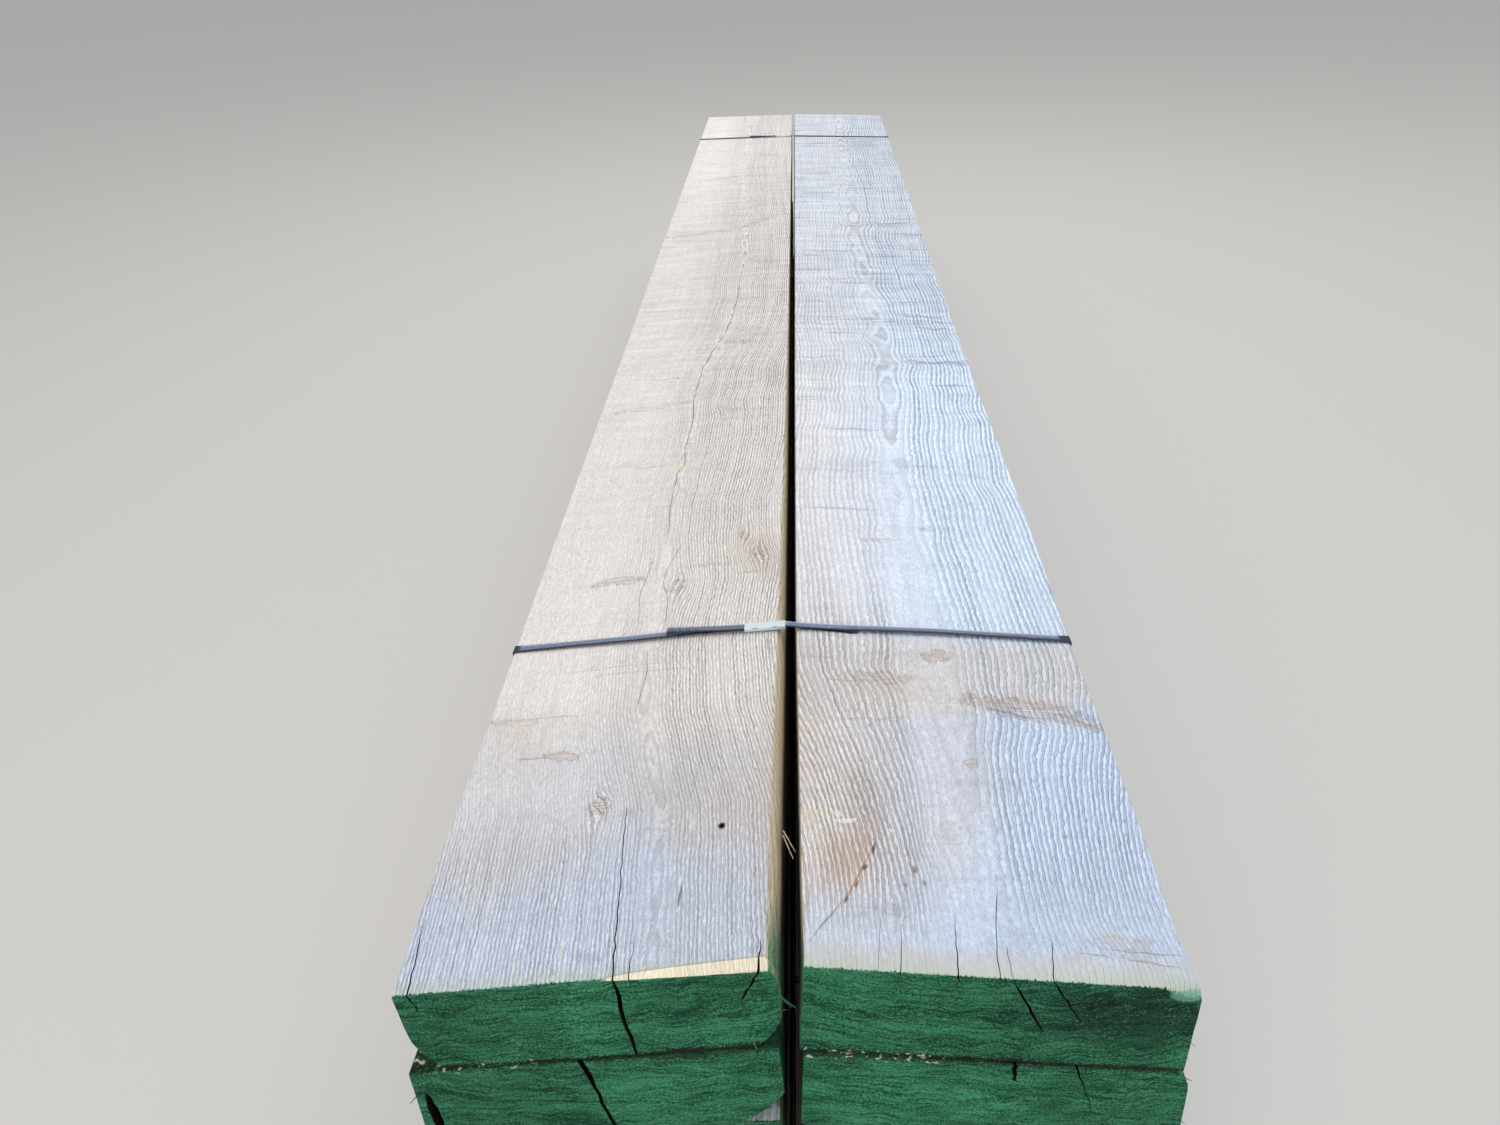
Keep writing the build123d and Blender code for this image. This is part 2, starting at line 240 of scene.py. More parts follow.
# End splits of the boards of a column, from the top layer down
LEFT_NEAR_CHECKS = (
    (
        Check(-21.5, -34, 106, 3.6, -6.7, 192, 0.75),
        Check(145, 135, 24, 2.4, 152, 72),
        Check(-33, -33, 16, 1.2, -34, 46),
        Check(-138, -109, 68, 3.8, -137, 34, 0.7),
    ),
    (Check(17, -7, 106, 5, 20, 160, 0.7),),
    (
        Check(-48, -30, 58, 2.6, -52, 120),
        Check(74, 66, 34, 1.8, 78, 64),
    ),
    (Check(6, 22, 72, 3.4, -4, 170),),
    (
        Check(92, 60, 46, 2.2, 96, 84),
        Check(-70, -76, 24, 1.4, -66, 48),
    ),
    (Check(-16, -40, 66, 2.8, -8, 140),),
)
RIGHT_NEAR_CHECKS = (
    (
        Check(9, 55, 96, 3.2, 9, 34, 0.8, 0.06),
        Check(36, 76, 66, 2.2, 46, 42, 0.6),
        Check(-33, -36, 18, 1.4, -27, 66),
        Check(-79, -80, 14, 1.2, -71, 54),
    ),
    (
        Check(68, 92, 72, 1.8, 62, 110),
        Check(20, 22, 34, 4.6, 16, 36, 0.8),
    ),
    (Check(-60, -20, 68, 2.6, -64, 130),),
    (
        Check(30, 38, 52, 2.8, 24, 96),
        Check(-86, -78, 30, 1.6, -90, 58),
    ),
    (Check(-8, 10, 80, 3.2, -2, 180),),
    (
        Check(52, 40, 44, 2, 58, 76),
        Check(-40, -44, 60, 2.4, -34, 110),
    ),
)
LEFT_FAR_CHECKS = (
    (Check(18, 2, 70, 2.4, 10, 120),),
    (Check(-30, -12, 50, 2.2, -36, 90),),
    (Check(64, 48, 38, 1.8, 70, 60),),
    (Check(-4, -18, 84, 3, 4, 150),),
    (Check(-82, -64, 42, 2, -88, 70),),
    (Check(36, 30, 62, 2.6, 40, 112),),
)
RIGHT_FAR_CHECKS = (
    (Check(-14, 8, 58, 2.2, -20, 96),),
    (Check(44, 26, 74, 2.8, 50, 136),),
    (Check(-58, -50, 36, 1.8, -62, 58),),
    (Check(10, -6, 66, 2.4, 16, 118),),
    (Check(78, 70, 32, 1.6, 82, 52),),
    (Check(-26, -38, 80, 3, -18, 144),),
)
CHECKS = {
    ("left", -1): LEFT_NEAR_CHECKS,
    ("left", 1): LEFT_FAR_CHECKS,
    ("right", -1): RIGHT_NEAR_CHECKS,
    ("right", 1): RIGHT_FAR_CHECKS,
}
WANES = {
    ("left", 0): (
        Wane(edge="outer", face="bottom", across=19, height=44, hollow=3, length=900),
        Wane(edge="inner", face="bottom", across=27, height=44, hollow=6, length=420),
        Wane(edge="inner", face="top", across=9, height=26, hollow=2.5, length=1900),
    ),
    ("left", 1): (Wane(edge="inner", face="bottom", across=44, height=40, hollow=5, length=520),),
    ("left", 3): (Wane(edge="outer", face="top", across=22, height=18, hollow=3, length=2300),),
    ("right", 1): (Wane(edge="outer", face="top", across=14, height=20, hollow=2, length=1300),),
    ("right", 4): (Wane(edge="outer", face="bottom", across=18, height=26, hollow=3, length=1700),),
}
CHIPS = {
    ("left", 0): (Chip(outs=(-152, -16), reaches=(11.5, 0.4), falls=(4.6, 0.2)),),
    ("right", 0): (Chip(outs=(126, 158), reaches=(1, 11), falls=(1, 12)),),
}
POCKETS = {
    ("left", 1): (Pocket(out=150, below=62, width=9, height=62, turn=4, depth=45),),
}

# The heart's line along the left board as (x, y) in mm, then its cracks, knots and marks
LEFT_HEART = (
    (-107, -1830), (-118, -1640), (-150, -1500), (-160, -1380), (-152, -1250), (-162, -1150),
    (-166, -1050), (-158, -880), (-158, -780), (-162, -700), (-156, -555), (-142, -466),
    (-126, -390), (-117, -293), (-110, -179), (-112, -100), (-109, 0), (-108, 130), (-122, 500),
    (-150, 1000), (-140, 1830),
)
LEFT_CRACKS = (
    Crack(
        points=(
            (-108, 134), (-109, -4), (-112, -100), (-110.5, -179), (-117, -293), (-126, -391),
            (-142, -466), (-156, -555), (-161, -650), (-162, -698), (-157, -785), (-161, -878),
            (-157, -932), (-166, -956), (-166, -1058), (-161, -1158),
        ),
        width=1.15,
        depth=13,
    ),
    Crack(((-176, -1188), (-177.5, -1231), (-183, -1273), (-178, -1337)), width=0.8, depth=7),
    Crack(
        points=((-142, -1164), (-156, -1227), (-157, -1259), (-149, -1277), (-143, -1352)),
        width=0.8,
        depth=7,
    ),
    Crack(points=((-160, -1384), (-156, -1440), (-161, -1500)), width=0.8, depth=6),
    Crack(points=((-103, -1383), (-102, -1426)), width=0.6, depth=5),
)
RIGHT_CRACKS = (
    Crack(points=((162, -1850), (163, -1815), (167, -1780), (175, -1735)), width=1, depth=9),
    Crack(points=((66, -1850), (70, -1815), (75, -1770)), width=0.6, depth=5),
)
LEFT_KNOTS = (
    Knot(-179, -1637, 9, 10, 0, 0.95),
    Knot(-226, -1561, 15, 5.5, -4, 0.95),
    Knot(-287, -1503, 20, 4.5, -4, 0.6),
    Knot(-214, -1243, 24, 8, 6, 0.8),
    Knot(-138, -1261, 10, 11, 0, 0.5),
    Knot(-60, -1149, 5, 9, 0, 0.9),
    Knot(-39, -1198, 10, 9, 20, 0.35),
    Knot(-232, -717, 54, 8, 12, 0.55),
    Knot(-106, -744, 18, 8, -8, 0.45),
    Knot(-100, -440, 22, 10, -6, 0.55),
    Knot(-230, 305, 62, 11, 14, 0.6),
    Knot(-84, 390, 46, 10, 52, 0.6),
    Knot(-210, 880, 40, 12, 6, 0.5),
    Knot(-70, 1150, 30, 12, -8, 0.5),
)
LEFT_MARKS = (
    Mark(-270, -1545, 60, 62, 0, "brown", 0.16, 1),
    Mark(-215, -1500, 120, 30, 4, "tan", 0.14, 1),
    Mark(-258, -1562, 16, 1.6, 0, "bark", 0.4),
    Mark(-247, -1498, 34, 1.6, 3, "brown", 0.45),
    Mark(-150, -1645, 9, 10, 0, "grey", 0.5, 0.8),
    Mark(-50, -1190, 38, 48, 0, "tan", 0.42, 1),
    Mark(-24, -1240, 16, 60, 0, "brown", 0.22, 1),
    Mark(-60.9, -1668, 3.4, 4, 0, "pitch", 0.9, 0.3),
    Mark(-48, -1241, 20, 3, 8, "brown", 0.4),
    Mark(-106, -1219, 30, 5, 2, "grey", 0.3),
    Mark(-92, -1746, 1.1, 13, -4, "bark", 0.8, 0.5),
    Mark(-93, -1731, 1.2, 6, 0, "chalk", 0.8, 0.5),
    Mark(-93, -1763, 1.2, 3, 0, "chalk", 0.7, 0.5),
    Mark(-88, -1665, 1.6, 12, 0, "chalk", 0.55, 0.7),
    Mark(-186, -1796, 1.6, 9, 4, "cream", 0.6, 0.8),
    Mark(-184, -1790, 2.4, 4, 0, "chalk", 0.8, 0.6),
    Mark(-222, -1812, 1.6, 7, 0, "cream", 0.6, 0.8),
    Mark(-160, -1804, 13, 7, 0, "grey", 0.35, 0.5),
    Mark(-40, -1640, 38, 30, 0, "tan", 0.16, 1),
    Mark(-18, -1630, 12, 170, 0, "tan", 0.3, 1),
    Mark(-14, -1440, 4, 70, 0, "cream", 0.6, 0.7),
    Mark(-24, -1395, 3, 18, 6, "brown", 0.45, 0.6),
    Mark(-160, -1430, 60, 2, 4, "grey", 0.3),
    Mark(-200, -1420, 85, 1.6, 4, "grey", 0.3),
    Mark(-166, -940, 22, 9, 2, "cream", 0.75, 0.5),
    Mark(-205, -930, 26, 3, 10, "grey", 0.4),
    Mark(-220, -594, 50, 3, 2, "grey", 0.45),
    Mark(-30, -620, 30, 48, 0, "brown", 0.24, 1),
    Mark(-150, -350, 60, 16, 0, "tan", 0.3, 1),
    Mark(-120, -190, 80, 14, 4, "tan", 0.25, 1),
    Mark(-60, 60, 50, 18, -4, "brown", 0.22, 1),
)
# The same for the right board
RIGHT_HEART = (
    (172, -1830), (166, -1640), (160, -1450), (150, -1200), (146, -1000), (158, -800), (170, -560),
    (160, -300), (150, 100), (165, 700), (150, 1200), (160, 1830),
)
RIGHT_KNOTS = (
    Knot(146, -1675, 13, 13, 0, 0.32),
    Knot(85, -1765, 5, 7, 0, 0.6),
    Knot(173, -1582, 5, 6, 0, 0.8),
    Knot(262, -1793, 20, 9, -8, 0.4),
    Knot(250, -1503, 60, 13, -15, 0.9),
    Knot(95, -1455, 30, 9, -2, 0.6),
    Knot(157, -1414, 12, 9, 0, 0.85),
    Knot(159, -949, 9, 14, 0, 0.35),
    Knot(176, -1136, 8, 7, 0, 0.6),
    Knot(111, -1167, 14, 5, 0, 0.5),
    Knot(218, -553, 20, 7, -6, 0.4),
    Knot(156, -574, 10, 9, 0, 0.4),
    Knot(152, -433, 12, 12, 0, 0.4),
    Knot(200, -300, 36, 8, -5, 0.4),
    Knot(90, -80, 30, 9, 8, 0.4),
    Knot(230, 360, 44, 11, -6, 0.5),
    Knot(80, 900, 34, 12, 6, 0.5),
    Knot(220, 1300, 30, 12, -4, 0.5),
)
RIGHT_MARKS = (
    Mark(46, -1712, 26, 52, -24, "rust", 0.42, 1),
    Mark(60, -1705, 9, 34, -24, "rust", 0.5, 1),
    Mark(66, -1630, 24, 60, 0, "brown", 0.30, 1),
    Mark(60, -1725, 1.5, 42, -24, "rust", 0.9, 0.6),
    Mark(73.5, -1697, 1.7, 9, -12, "pitch", 0.8, 0.7),
    Mark(65, -1719, 2.6, 4, -30, "pitch", 0.75, 0.7),
    Mark(57, -1737, 1.6, 5, -24, "pitch", 0.65, 0.7),
    Mark(47, -1755, 1.7, 6, -24, "pitch", 0.7, 0.7),
    Mark(30, -1779, 1, 28, -34, "bark", 0.6),
    Mark(14, -1770, 3, 40, -6, "brown", 0.35, 1),
    Mark(51, -1663, 11, 2.6, 8, "chalk", 1, 0.3),
    Mark(44, -1655, 4, 4, 0, "chalk", 0.9, 0.4),
    Mark(24, -1656, 18, 6, 0, "cream", 0.5, 1),
    Mark(90, -1674, 3, 3, 0, "chalk", 0.8, 0.5),
    Mark(20, -1560, 14, 160, 0, "tan", 0.25, 1),
    Mark(75, -1521, 44, 2, 2, "brown", 0.35),
    Mark(100, -1470, 50, 34, 0, "tan", 0.22, 1),
    Mark(107, -1719, 2.4, 5, 0, "bark", 0.7),
    Mark(98, -1736, 2, 3.4, 0, "bark", 0.6),
    Mark(114, -1734, 2, 3.4, 0, "bark", 0.6),
    Mark(244, -1676, 3, 3, 0, "grey", 0.7),
    Mark(225, -1663, 2.6, 3.4, 0, "chalk", 0.9, 0.4),
    Mark(285, -1808, 28, 1, -12, "bark", 0.65),
    Mark(280, -1798, 32, 0.9, -4, "bark", 0.55),
    Mark(243, -1803, 14, 1, -10, "bark", 0.5),
    Mark(262, -1783, 26, 5, -6, "tan", 0.35, 1),
    Mark(292, -1517, 20, 3.4, -24, "brown", 0.7, 0.7),
    Mark(268, -1522, 34, 3.4, -8, "chalk", 0.5, 0.7),
    Mark(222, -1506, 26, 2.2, -18, "bark", 0.55),
    Mark(262, -1490, 40, 14, -12, "tan", 0.4, 1),
    Mark(58, -1460, 22, 2, 0, "brown", 0.4),
    Mark(45, -530, 40, 3, 0, "late_outer", 0.5),
    Mark(251, -545, 56, 4.5, -3, "late_outer", 0.75),
    Mark(244, -515, 34, 3, 5, "late_outer", 0.55),
    Mark(265, -380, 42, 4, -2, "late_outer", 0.7),
    Mark(254, -310, 44, 4, 2, "late_outer", 0.6),
    Mark(235, -230, 40, 4, 0, "late_outer", 0.6),
    Mark(250, 370, 48, 6, 2, "late_outer", 0.6),
    Mark(90, -410, 36, 4, -4, "late_outer", 0.5),
    Mark(60, -360, 40, 4, 3, "late_outer", 0.5),
    Mark(100, 120, 60, 6, 0, "late_outer", 0.45),
    Mark(262, -652, 42, 3.4, -2, "late_outer", 0.7),
    Mark(95, -833, 52, 3.4, -3, "late_outer", 0.5),
    # Painted shade: a wide soft grey band across the face
    Mark(75, -950, 62, 16, 0, "grey", 0.2, 1),
    Mark(70, -1085, 62, 3, -3, "late_outer", 0.45),
    Mark(70, -560, 62, 22, 0, "grey", 0.2, 1),
    Mark(70, -270, 62, 20, 0, "grey", 0.25, 1),
    Mark(230, -140, 60, 14, -4, "grey", 0.25, 1),
)

# Uneven paint on the ends in view
BLOTS = {
    ("left", 0): (
        Blot(-275, 538, 55, 42, 0.78),
        Blot(-160, 556, 26, 50, 1.3),
        Blot(-60, 575, 60, 24, 0.85),
        Blot(-60, 528, 50, 18, 1.15),
    ),
    ("right", 0): (
        Blot(275, 560, 62, 40, 0.36),
        Blot(210, 560, 80, 36, 0.75),
        Blot(40, 560, 40, 46, 1.12),
        Blot(130, 545, 60, 12, 1.25),
    ),
    ("left", 1): (
        Blot(-235, 450, 60, 50, 0.85),
        Blot(-90, 460, 70, 50, 1.2),
    ),
    ("right", 1): (Blot(100, 450, 110, 40, 1.3),),
}

# Loose fibres: roots and tips in mm, and how many more stick out along the outer arris and the end
FIBRES = {
    ("left", 0): (
        ((-7, -1829, 581), (6, -1836, 575)),
        ((-7, -1828, 579), (2, -1838, 579)),
        ((-6, -1666, 596), (5, -1684, 588)),
        ((-6, -1670, 594), (3, -1694, 590)),
        ((-30, -1828, 521), (-26, -1834, 512)),
        ((-9, -1828, 562), (-2, -1833, 570)),
    ),
}
EDGE_FIBRES = {("right", 0): (24, 8), ("right", 1): (0, 12), ("left", 1): (0, 9)}
FIBRE_RADIUS = 0.75 * MM

# How far inner edges swell into the gap, in mm at places along Y
GAP_SWELL_PLACES = (-1850, -1360, -900, 1850)
GAP_SWELL = {
    ("left", 0): (0, 1.6, 2.2, 2.6),
    ("right", 0): (1.2, 6.2, 7.2, 7.6),
    ("right", 1): (3.6, 1.5, 0, 0),
}
GAP_SWELL_REACH = 0.3

# How far the top boards' outer edges stand back, in mm at places along Y
OUTER_TRIM_PLACES = {
    "left": (-1850, -1700, -1590, -1400, -1100, -870, -660, -370, 0, 600, 1850),
    "right": (
        -1850, -1805, -1775, -1700, -1550, -1480, -1364, -1100, -870, -660, -250, 300, 600, 1850
    ),
}
OUTER_TRIM = {
    "left": (-1.5, -2.5, -1.5, 0.5, 2.5, 4.5, 6.5, 9, 10.5, 9.5, 8),
    "right": (0, 1.5, 5.5, 3.5, 3.8, 5.5, 7.5, 5.5, 8, 10.5, 11.5, 11, 8.5, 8),
}

# How far outer sides stand out at the near end, at top and bottom in mm, and how far that reaches
END_SPREAD = {("left", 1): (7, 14), ("right", 0): (0, 6), ("right", 1): (6, 14)}
END_SPREAD_LENGTH = 440 * MM

# Straps, from the same sizes as their solids, with the bites of the tensioner in the tail in mm,
# the ends of the tail, the lower end that comes out beside the seal, and the lines where they bend
STRAP_WIDTH = 12.7 * MM
STRAP_THICKNESS = 0.8 * MM
STRAP_Y = {"near": -1364.219, "far": 1433.781}
STRAP_BITES = (-136, -127, -118, -109)
TAIL_ENDS = (-141.2 * MM, -12 * MM)
TAIL_LOWEST = 570 * MM
TONGUE_START = 12 * MM
TONGUE_LENGTH = 64 * MM
TONGUE_DRIFT = 7.5 * MM
TONGUE_HALF_WIDTH = 5.4 * MM
BEND_SPACING = 10 * MM
BEND_LEVELS = (0.40, 0.49, 0.52, 0.55, 0.575)

# How the straps lie on the stack
STRAP_LIES = {
    "near": Lie(
        places=(-322, -257, -189, -144, -98, -53, 0, 60, 128, 162, 218, 300, 322),
        shifts=(-9.5, -8, -6, -3.5, -1.5, -1.5, -1, -3, -4.5, -5, -7.5, -11, -11),
        rolls=(0, 9, 9, 9, 9, 9, 10, 8, 14, 14, 13, 10, 0),
    ),
    "far": Lie(places=(-322, -60, 0, 322), shifts=(3, 0, 0, -4), rolls=(0, 4, 4, 0)),
}

# How the splinter face at the left board's arris swells from its thin end
SPLINTER_POWER = 0.45
SPLINTER_THIN = 0.035

# Height of the tree's heart over the top boards' upper faces
HEART_HEIGHTS = {"left": -9 * MM, "right": 26 * MM}

# Centres (x, z) of the saw's arcs on the near ends of the top boards, in metres
SAW_CENTRES = {("left", 0): (-0.32, 2.5), ("right", 0): (0.16, 1.06)}

# Nail holes in the left top board: x, y and radius in mm
NAILS = ((-60.9, -1668.2, 2.2), (-197.0, -598.2, 1.8))
NAIL_DEPTH = 32 * MM

# Slow swings of the ring width: size in rings, waves in 1/m and start
RING_SWINGS = ((0.08, 190.0, 1.3), (0.14, 83.0, 2.1), (0.25, 31.0, 0.4))


def from_top(layer):
    """Count a layer from the top of the stack, with 0 for the top one."""
    return LAYERS - 1 - layer


def error(errors, layer):
    """Pick one layer's error from a list that runs from the top layer down."""
    return errors[from_top(layer)] * MM


def thickness(column, layer):
    """Thickness of a board along its inner edge."""
    return BOARD_THICKNESS + error(column.thickness_errors, layer)


def inner_bottom(column, layer):
    """Height of a board's lower inner arris."""
    return UNDERSIDE + sum(thickness(column, below) + LAYER_GAP for below in range(layer))


def slope(column, level, y):
    """Fall for each unit outwards at a level, at a place along the boards."""
    share = y / BOARD_LENGTH + 0.5
    full_drop = (column.drop_near + (column.drop_far - column.drop_near) * share) * MM
    return full_drop / BOARD_WIDTH * level / LAYERS


def surface(column, layer, out, y):
    """Heights of a board's underside and top at one distance from the middle of the stack."""
    low = inner_bottom(column, layer)
    high = low + thickness(column, layer)
    past = out - COLUMN_GAP / 2
    return low - slope(column, layer, y) * past, high - slope(column, layer + 1, y) * past


def inner_edge(column, layer):
    """Distance of a board's inner edge from the middle of the stack, at half its thickness."""
    return COLUMN_GAP / 2 + error(column.shifts, layer)


def middle(column, layer):
    """Distance of a board's centre line from the middle of the stack."""
    return inner_edge(column, layer) + BOARD_WIDTH / 2


def end_y(column, layer, end, out):
    """Place along Y of a sawn end: +1 is the far end and -1 the near one, a little off square."""
    offsets = column.far_offsets if end > 0 else column.near_offsets
    skews = column.far_skews if end > 0 else column.near_skews
    off_square = error(skews, layer) / BOARD_WIDTH * (out - middle(column, layer))
    return end * (BOARD_LENGTH / 2 + error(offsets, layer)) + off_square


def grid_places(column, layer, across, along, up):
    """Places of points given as shares of a board's width, length and thickness, from arrays."""
    start = inner_edge(column, layer)
    bulge = error(column.bulges, layer)
    out = start + across * BOARD_WIDTH
    near = end_y(column, layer, -1, out)
    far = end_y(column, layer, 1, out)
    y = near + (far - near) * along
    width = BOARD_WIDTH + bulge * (1 - np.abs(2 * (y / BOARD_LENGTH)))
    mean_slope = (slope(column, layer, y) + slope(column, layer + 1, y)) / 2
    lean = thickness(column, layer) / 2 * mean_slope
    out = start + across * width + lean * (2 * up - 1)
    low, high = surface(column, layer, out, y)
    places = np.stack([column.side * out, y, low + (high - low) * up], axis=1)
    places[:, 0] += STACK_SHIFT[0]
    places[:, 1] += STACK_SHIFT[1]
    return places


def in_mm(value, places, sizes, *ends):
    """Read sizes off a bent line through places, both in mm, with other values past its ends."""
    return np.interp(value, np.array(places) * MM, np.array(sizes) * MM, *ends)


def share_between(value, start, end):
    """How far a value has come from start to end, both in mm, as a share from 0 to 1."""
    return np.clip((value - start * MM) / ((end - start) * MM), 0, 1)


def gap_swell(column, layer, y):
    """How far a board's inner edge swells into the gap at places along Y."""
    swells = GAP_SWELL.get((column.name, from_top(layer)))
    if swells is None:
        return np.zeros_like(y)
    return in_mm(y, GAP_SWELL_PLACES, swells)


def outer_trim(column, layer, y):
    """How far a board's outer edge stands back at places along Y."""
    if layer != TOP:
        return np.zeros_like(y)
    return in_mm(y, OUTER_TRIM_PLACES[column.name], OUTER_TRIM[column.name])


def end_spread(column, layer, from_end, up):
    """How far a board's outer side stands out near its painted end."""
    high, low = END_SPREAD.get((column.name, from_top(layer)), (0, 0))
    return (low + (high - low) * up) * MM * np.clip(1 - from_end / END_SPREAD_LENGTH, 0, 1) ** 2


def steps(*zones):
    """Shares from 0 to 1 for zones given as (end of the zone in mm, spacing in mm)."""
    marks = [0.0]
    for end, spacing in zones:
        start = marks[-1]
        count = max(1, round((end - start) / spacing))
        marks += [start + (end - start) * i / count for i in range(1, count + 1)]
    return np.array(marks) / marks[-1]


def edge_steps(size, first, second, inside):
    """Shares across a size with two closer steps at each edge, all in mm."""
    both = first + second
    middle_zones = ((both, second), (size - both, inside), (size - first, second))
    return steps((first, first), *middle_zones, (size, first))


def sawn_block(across, along, up):
    """A closed block whose grid lines lie at the given shares, and each vertex's three shares."""
    block = bmesh.new()
    bmesh.ops.create_cube(block, size=1)
    for axis, marks in enumerate((across, along, up)):
        edges = [
            edge
            for edge in block.edges
            if abs(edge.verts[0].co[axis] - edge.verts[1].co[axis]) > 0.5
        ]
        bmesh.ops.subdivide_edges(block, edges=edges, cuts=len(marks) - 2, use_grid_fill=True)
    shares = np.array([vert.co for vert in block.verts]) + 0.5
    for axis, marks in enumerate((across, along, up)):
        shares[:, axis] = marks[np.rint(shares[:, axis] * (len(marks) - 1)).astype(int)]
    return block, shares


def soft_noise(places, scales, seed):
    """Smooth noise from -1 to 1 at each place, with its own scale along each axis."""
    shift = Vector((seed * 7.31, seed * 3.77, seed * 5.13))
    scaled = places * np.array(scales)
    return np.array([noise.noise(Vector(place) + shift) for place in scaled])


def round_arris(shares, sizes, radius):
    """Move grid shares so that the four long arrises are rounded by a radius, given per vertex."""
    width, height = sizes
    inwards = np.minimum(shares[:, 0], 1 - shares[:, 0]) * width
    down = np.minimum(shares[:, 2], 1 - shares[:, 2]) * height
    near = (inwards < radius) & (down < radius)
    reach_x = radius - inwards
    reach_z = radius - down
    length = np.maximum(np.hypot(reach_x, reach_z), 1e-9)
    new_x = np.where(near, radius - reach_x / length * radius, inwards)
    new_z = np.where(near, radius - reach_z / length * radius, down)
    result = shares.copy()
    result[:, 0] = np.where(shares[:, 0] < 0.5, new_x / width, 1 - new_x / width)
    result[:, 2] = np.where(shares[:, 2] < 0.5, new_z / height, 1 - new_z / height)
    return result


def wane_shares(shares, wane, height):
    """Move grid shares onto the slanting face of a wane."""
    size = np.clip(1 - shares[:, 1] * BOARD_LENGTH / (wane.length * MM), 0, 1)
    reach = wane.across * MM * size + 1e-9
    rise = wane.height * MM * size + 1e-9
    outer = wane.edge == "outer"
    top = wane.face == "top"
    from_side = (1 - shares[:, 0] if outer else shares[:, 0]) * BOARD_WIDTH
    from_face = (1 - shares[:, 2] if top else shares[:, 2]) * height
    inside = from_side / reach + from_face / rise < 1
    run = (reach - from_side + from_face) / (reach + rise)
    crown = wane.hollow * MM * size * 4 * run * (1 - run)
    new_side = reach * (1 - run) - crown * 0.8
    new_face = rise * run - crown * 0.4
    new_side = np.where(inside, np.maximum(new_side, 0), from_side)
    new_face = np.where(inside, np.maximum(new_face, 0), from_face)
    result = shares.copy()
    result[:, 0] = 1 - new_side / BOARD_WIDTH if outer else new_side / BOARD_WIDTH
    result[:, 2] = 1 - new_face / height if top else new_face / height
    return result


def chip_size(out, chip, sizes):
    """Reach or fall of a broken-off splinter, which swells quickly from its thin end."""
    size = in_mm(out, chip.outs, sizes, 1e-6, 1e-6)
    largest = max(sizes) * MM
    return np.where(size > 1e-5, largest * (size / largest) ** SPLINTER_POWER, size)


def break_chip(places, column, layer, chip, seed):
    """Lower the places that lie above the slanting face of a broken-off splinter."""
    out = column.side * (places[:, 0] - STACK_SHIFT[0])
    centre = middle(column, layer)
    reach, fall = (chip_size(out - centre, chip, sizes) for sizes in (chip.reaches, chip.falls))
    reach = reach * (1 + 0.18 * soft_noise(places, (90, 0, 0), seed + 6))
    y = places[:, 1] - STACK_SHIFT[1]
    from_end = y - end_y(column, layer, -1, out)
    top = surface(column, layer, out, y)[1]
    limit = top - fall * (1 - from_end / reach)
    result = places.copy()
    inside = (from_end < reach) & (places[:, 2] > limit) & (places[:, 2] > top - 2 * fall - 2 * MM)
    result[:, 2] = np.where(inside, limit, places[:, 2])
    return result


def strip(stations, levels):
    """A closed strip through stations: each gives its two sides at a share of the height."""
    block, shares = sawn_block(
        np.array([0.0, 1.0]), np.linspace(0, 1, len(stations)), np.linspace(0, 1, levels)
    )
    for vert, (across, along, up) in zip(block.verts, shares):
        sides = stations[round(along * (len(stations) - 1))](up)
        vert.co = sides[0] if across < 0.5 else sides[1]
    return block


def check_cutter(column, layer, end, check, seed):
    """A jagged wedge that opens a split at a board's end."""
    rng = random.Random(seed)
    centre = middle(column, layer)
    mouth_y = end * (BOARD_LENGTH / 2 + END_ALLOWANCE)
    tip_y = end * (BOARD_LENGTH / 2 - check.length * MM)
    count = max(5, round(abs(tip_y - mouth_y) / (9 * MM)))
    levels = 9
    drift = [rng.uniform(-1, 1) * 0.8 * MM for _ in range(count + 1)]
    wander = [rng.uniform(-1, 1) * 1.5 * MM for _ in range(levels)]
    swell = [rng.uniform(0.75, 1.25) for _ in range(levels)]

    def station(i):
        share = i / count
        y = mouth_y + (tip_y - mouth_y) * share
        top = centre + (check.top + (check.tip - check.top) * share) * MM + drift[i]
        foot = centre + (check.foot + (check.tip - check.foot) * share) * MM + drift[i]
        mouth = (check.mouth * (1 - share) ** 0.8 + 0.25) * MM
        high = surface(column, layer, top, y)[1]
        depth = check.depth * MM * (1 - share) + 1 * MM

        def sides(up):
            level = round(up * (levels - 1))
            out = foot + (top - foot) * up + wander[level] * (1 - share)
            half = mouth / 2 * (check.foot_share + (1 - check.foot_share) * up) * swell[level]
            if layer == TOP:
                half *= min(1.0, check.top_share + (1 - up) * 3)
            z = high - depth + (depth + 2 * MM) * up
            x = column.side * out
            pair = [(x - half, y, z), (x + half, y, z)]
            return [(px + STACK_SHIFT[0], py + STACK_SHIFT[1], pz) for px, py, pz in pair]

        return sides

    return strip([station(i) for i in range(count + 1)], levels)


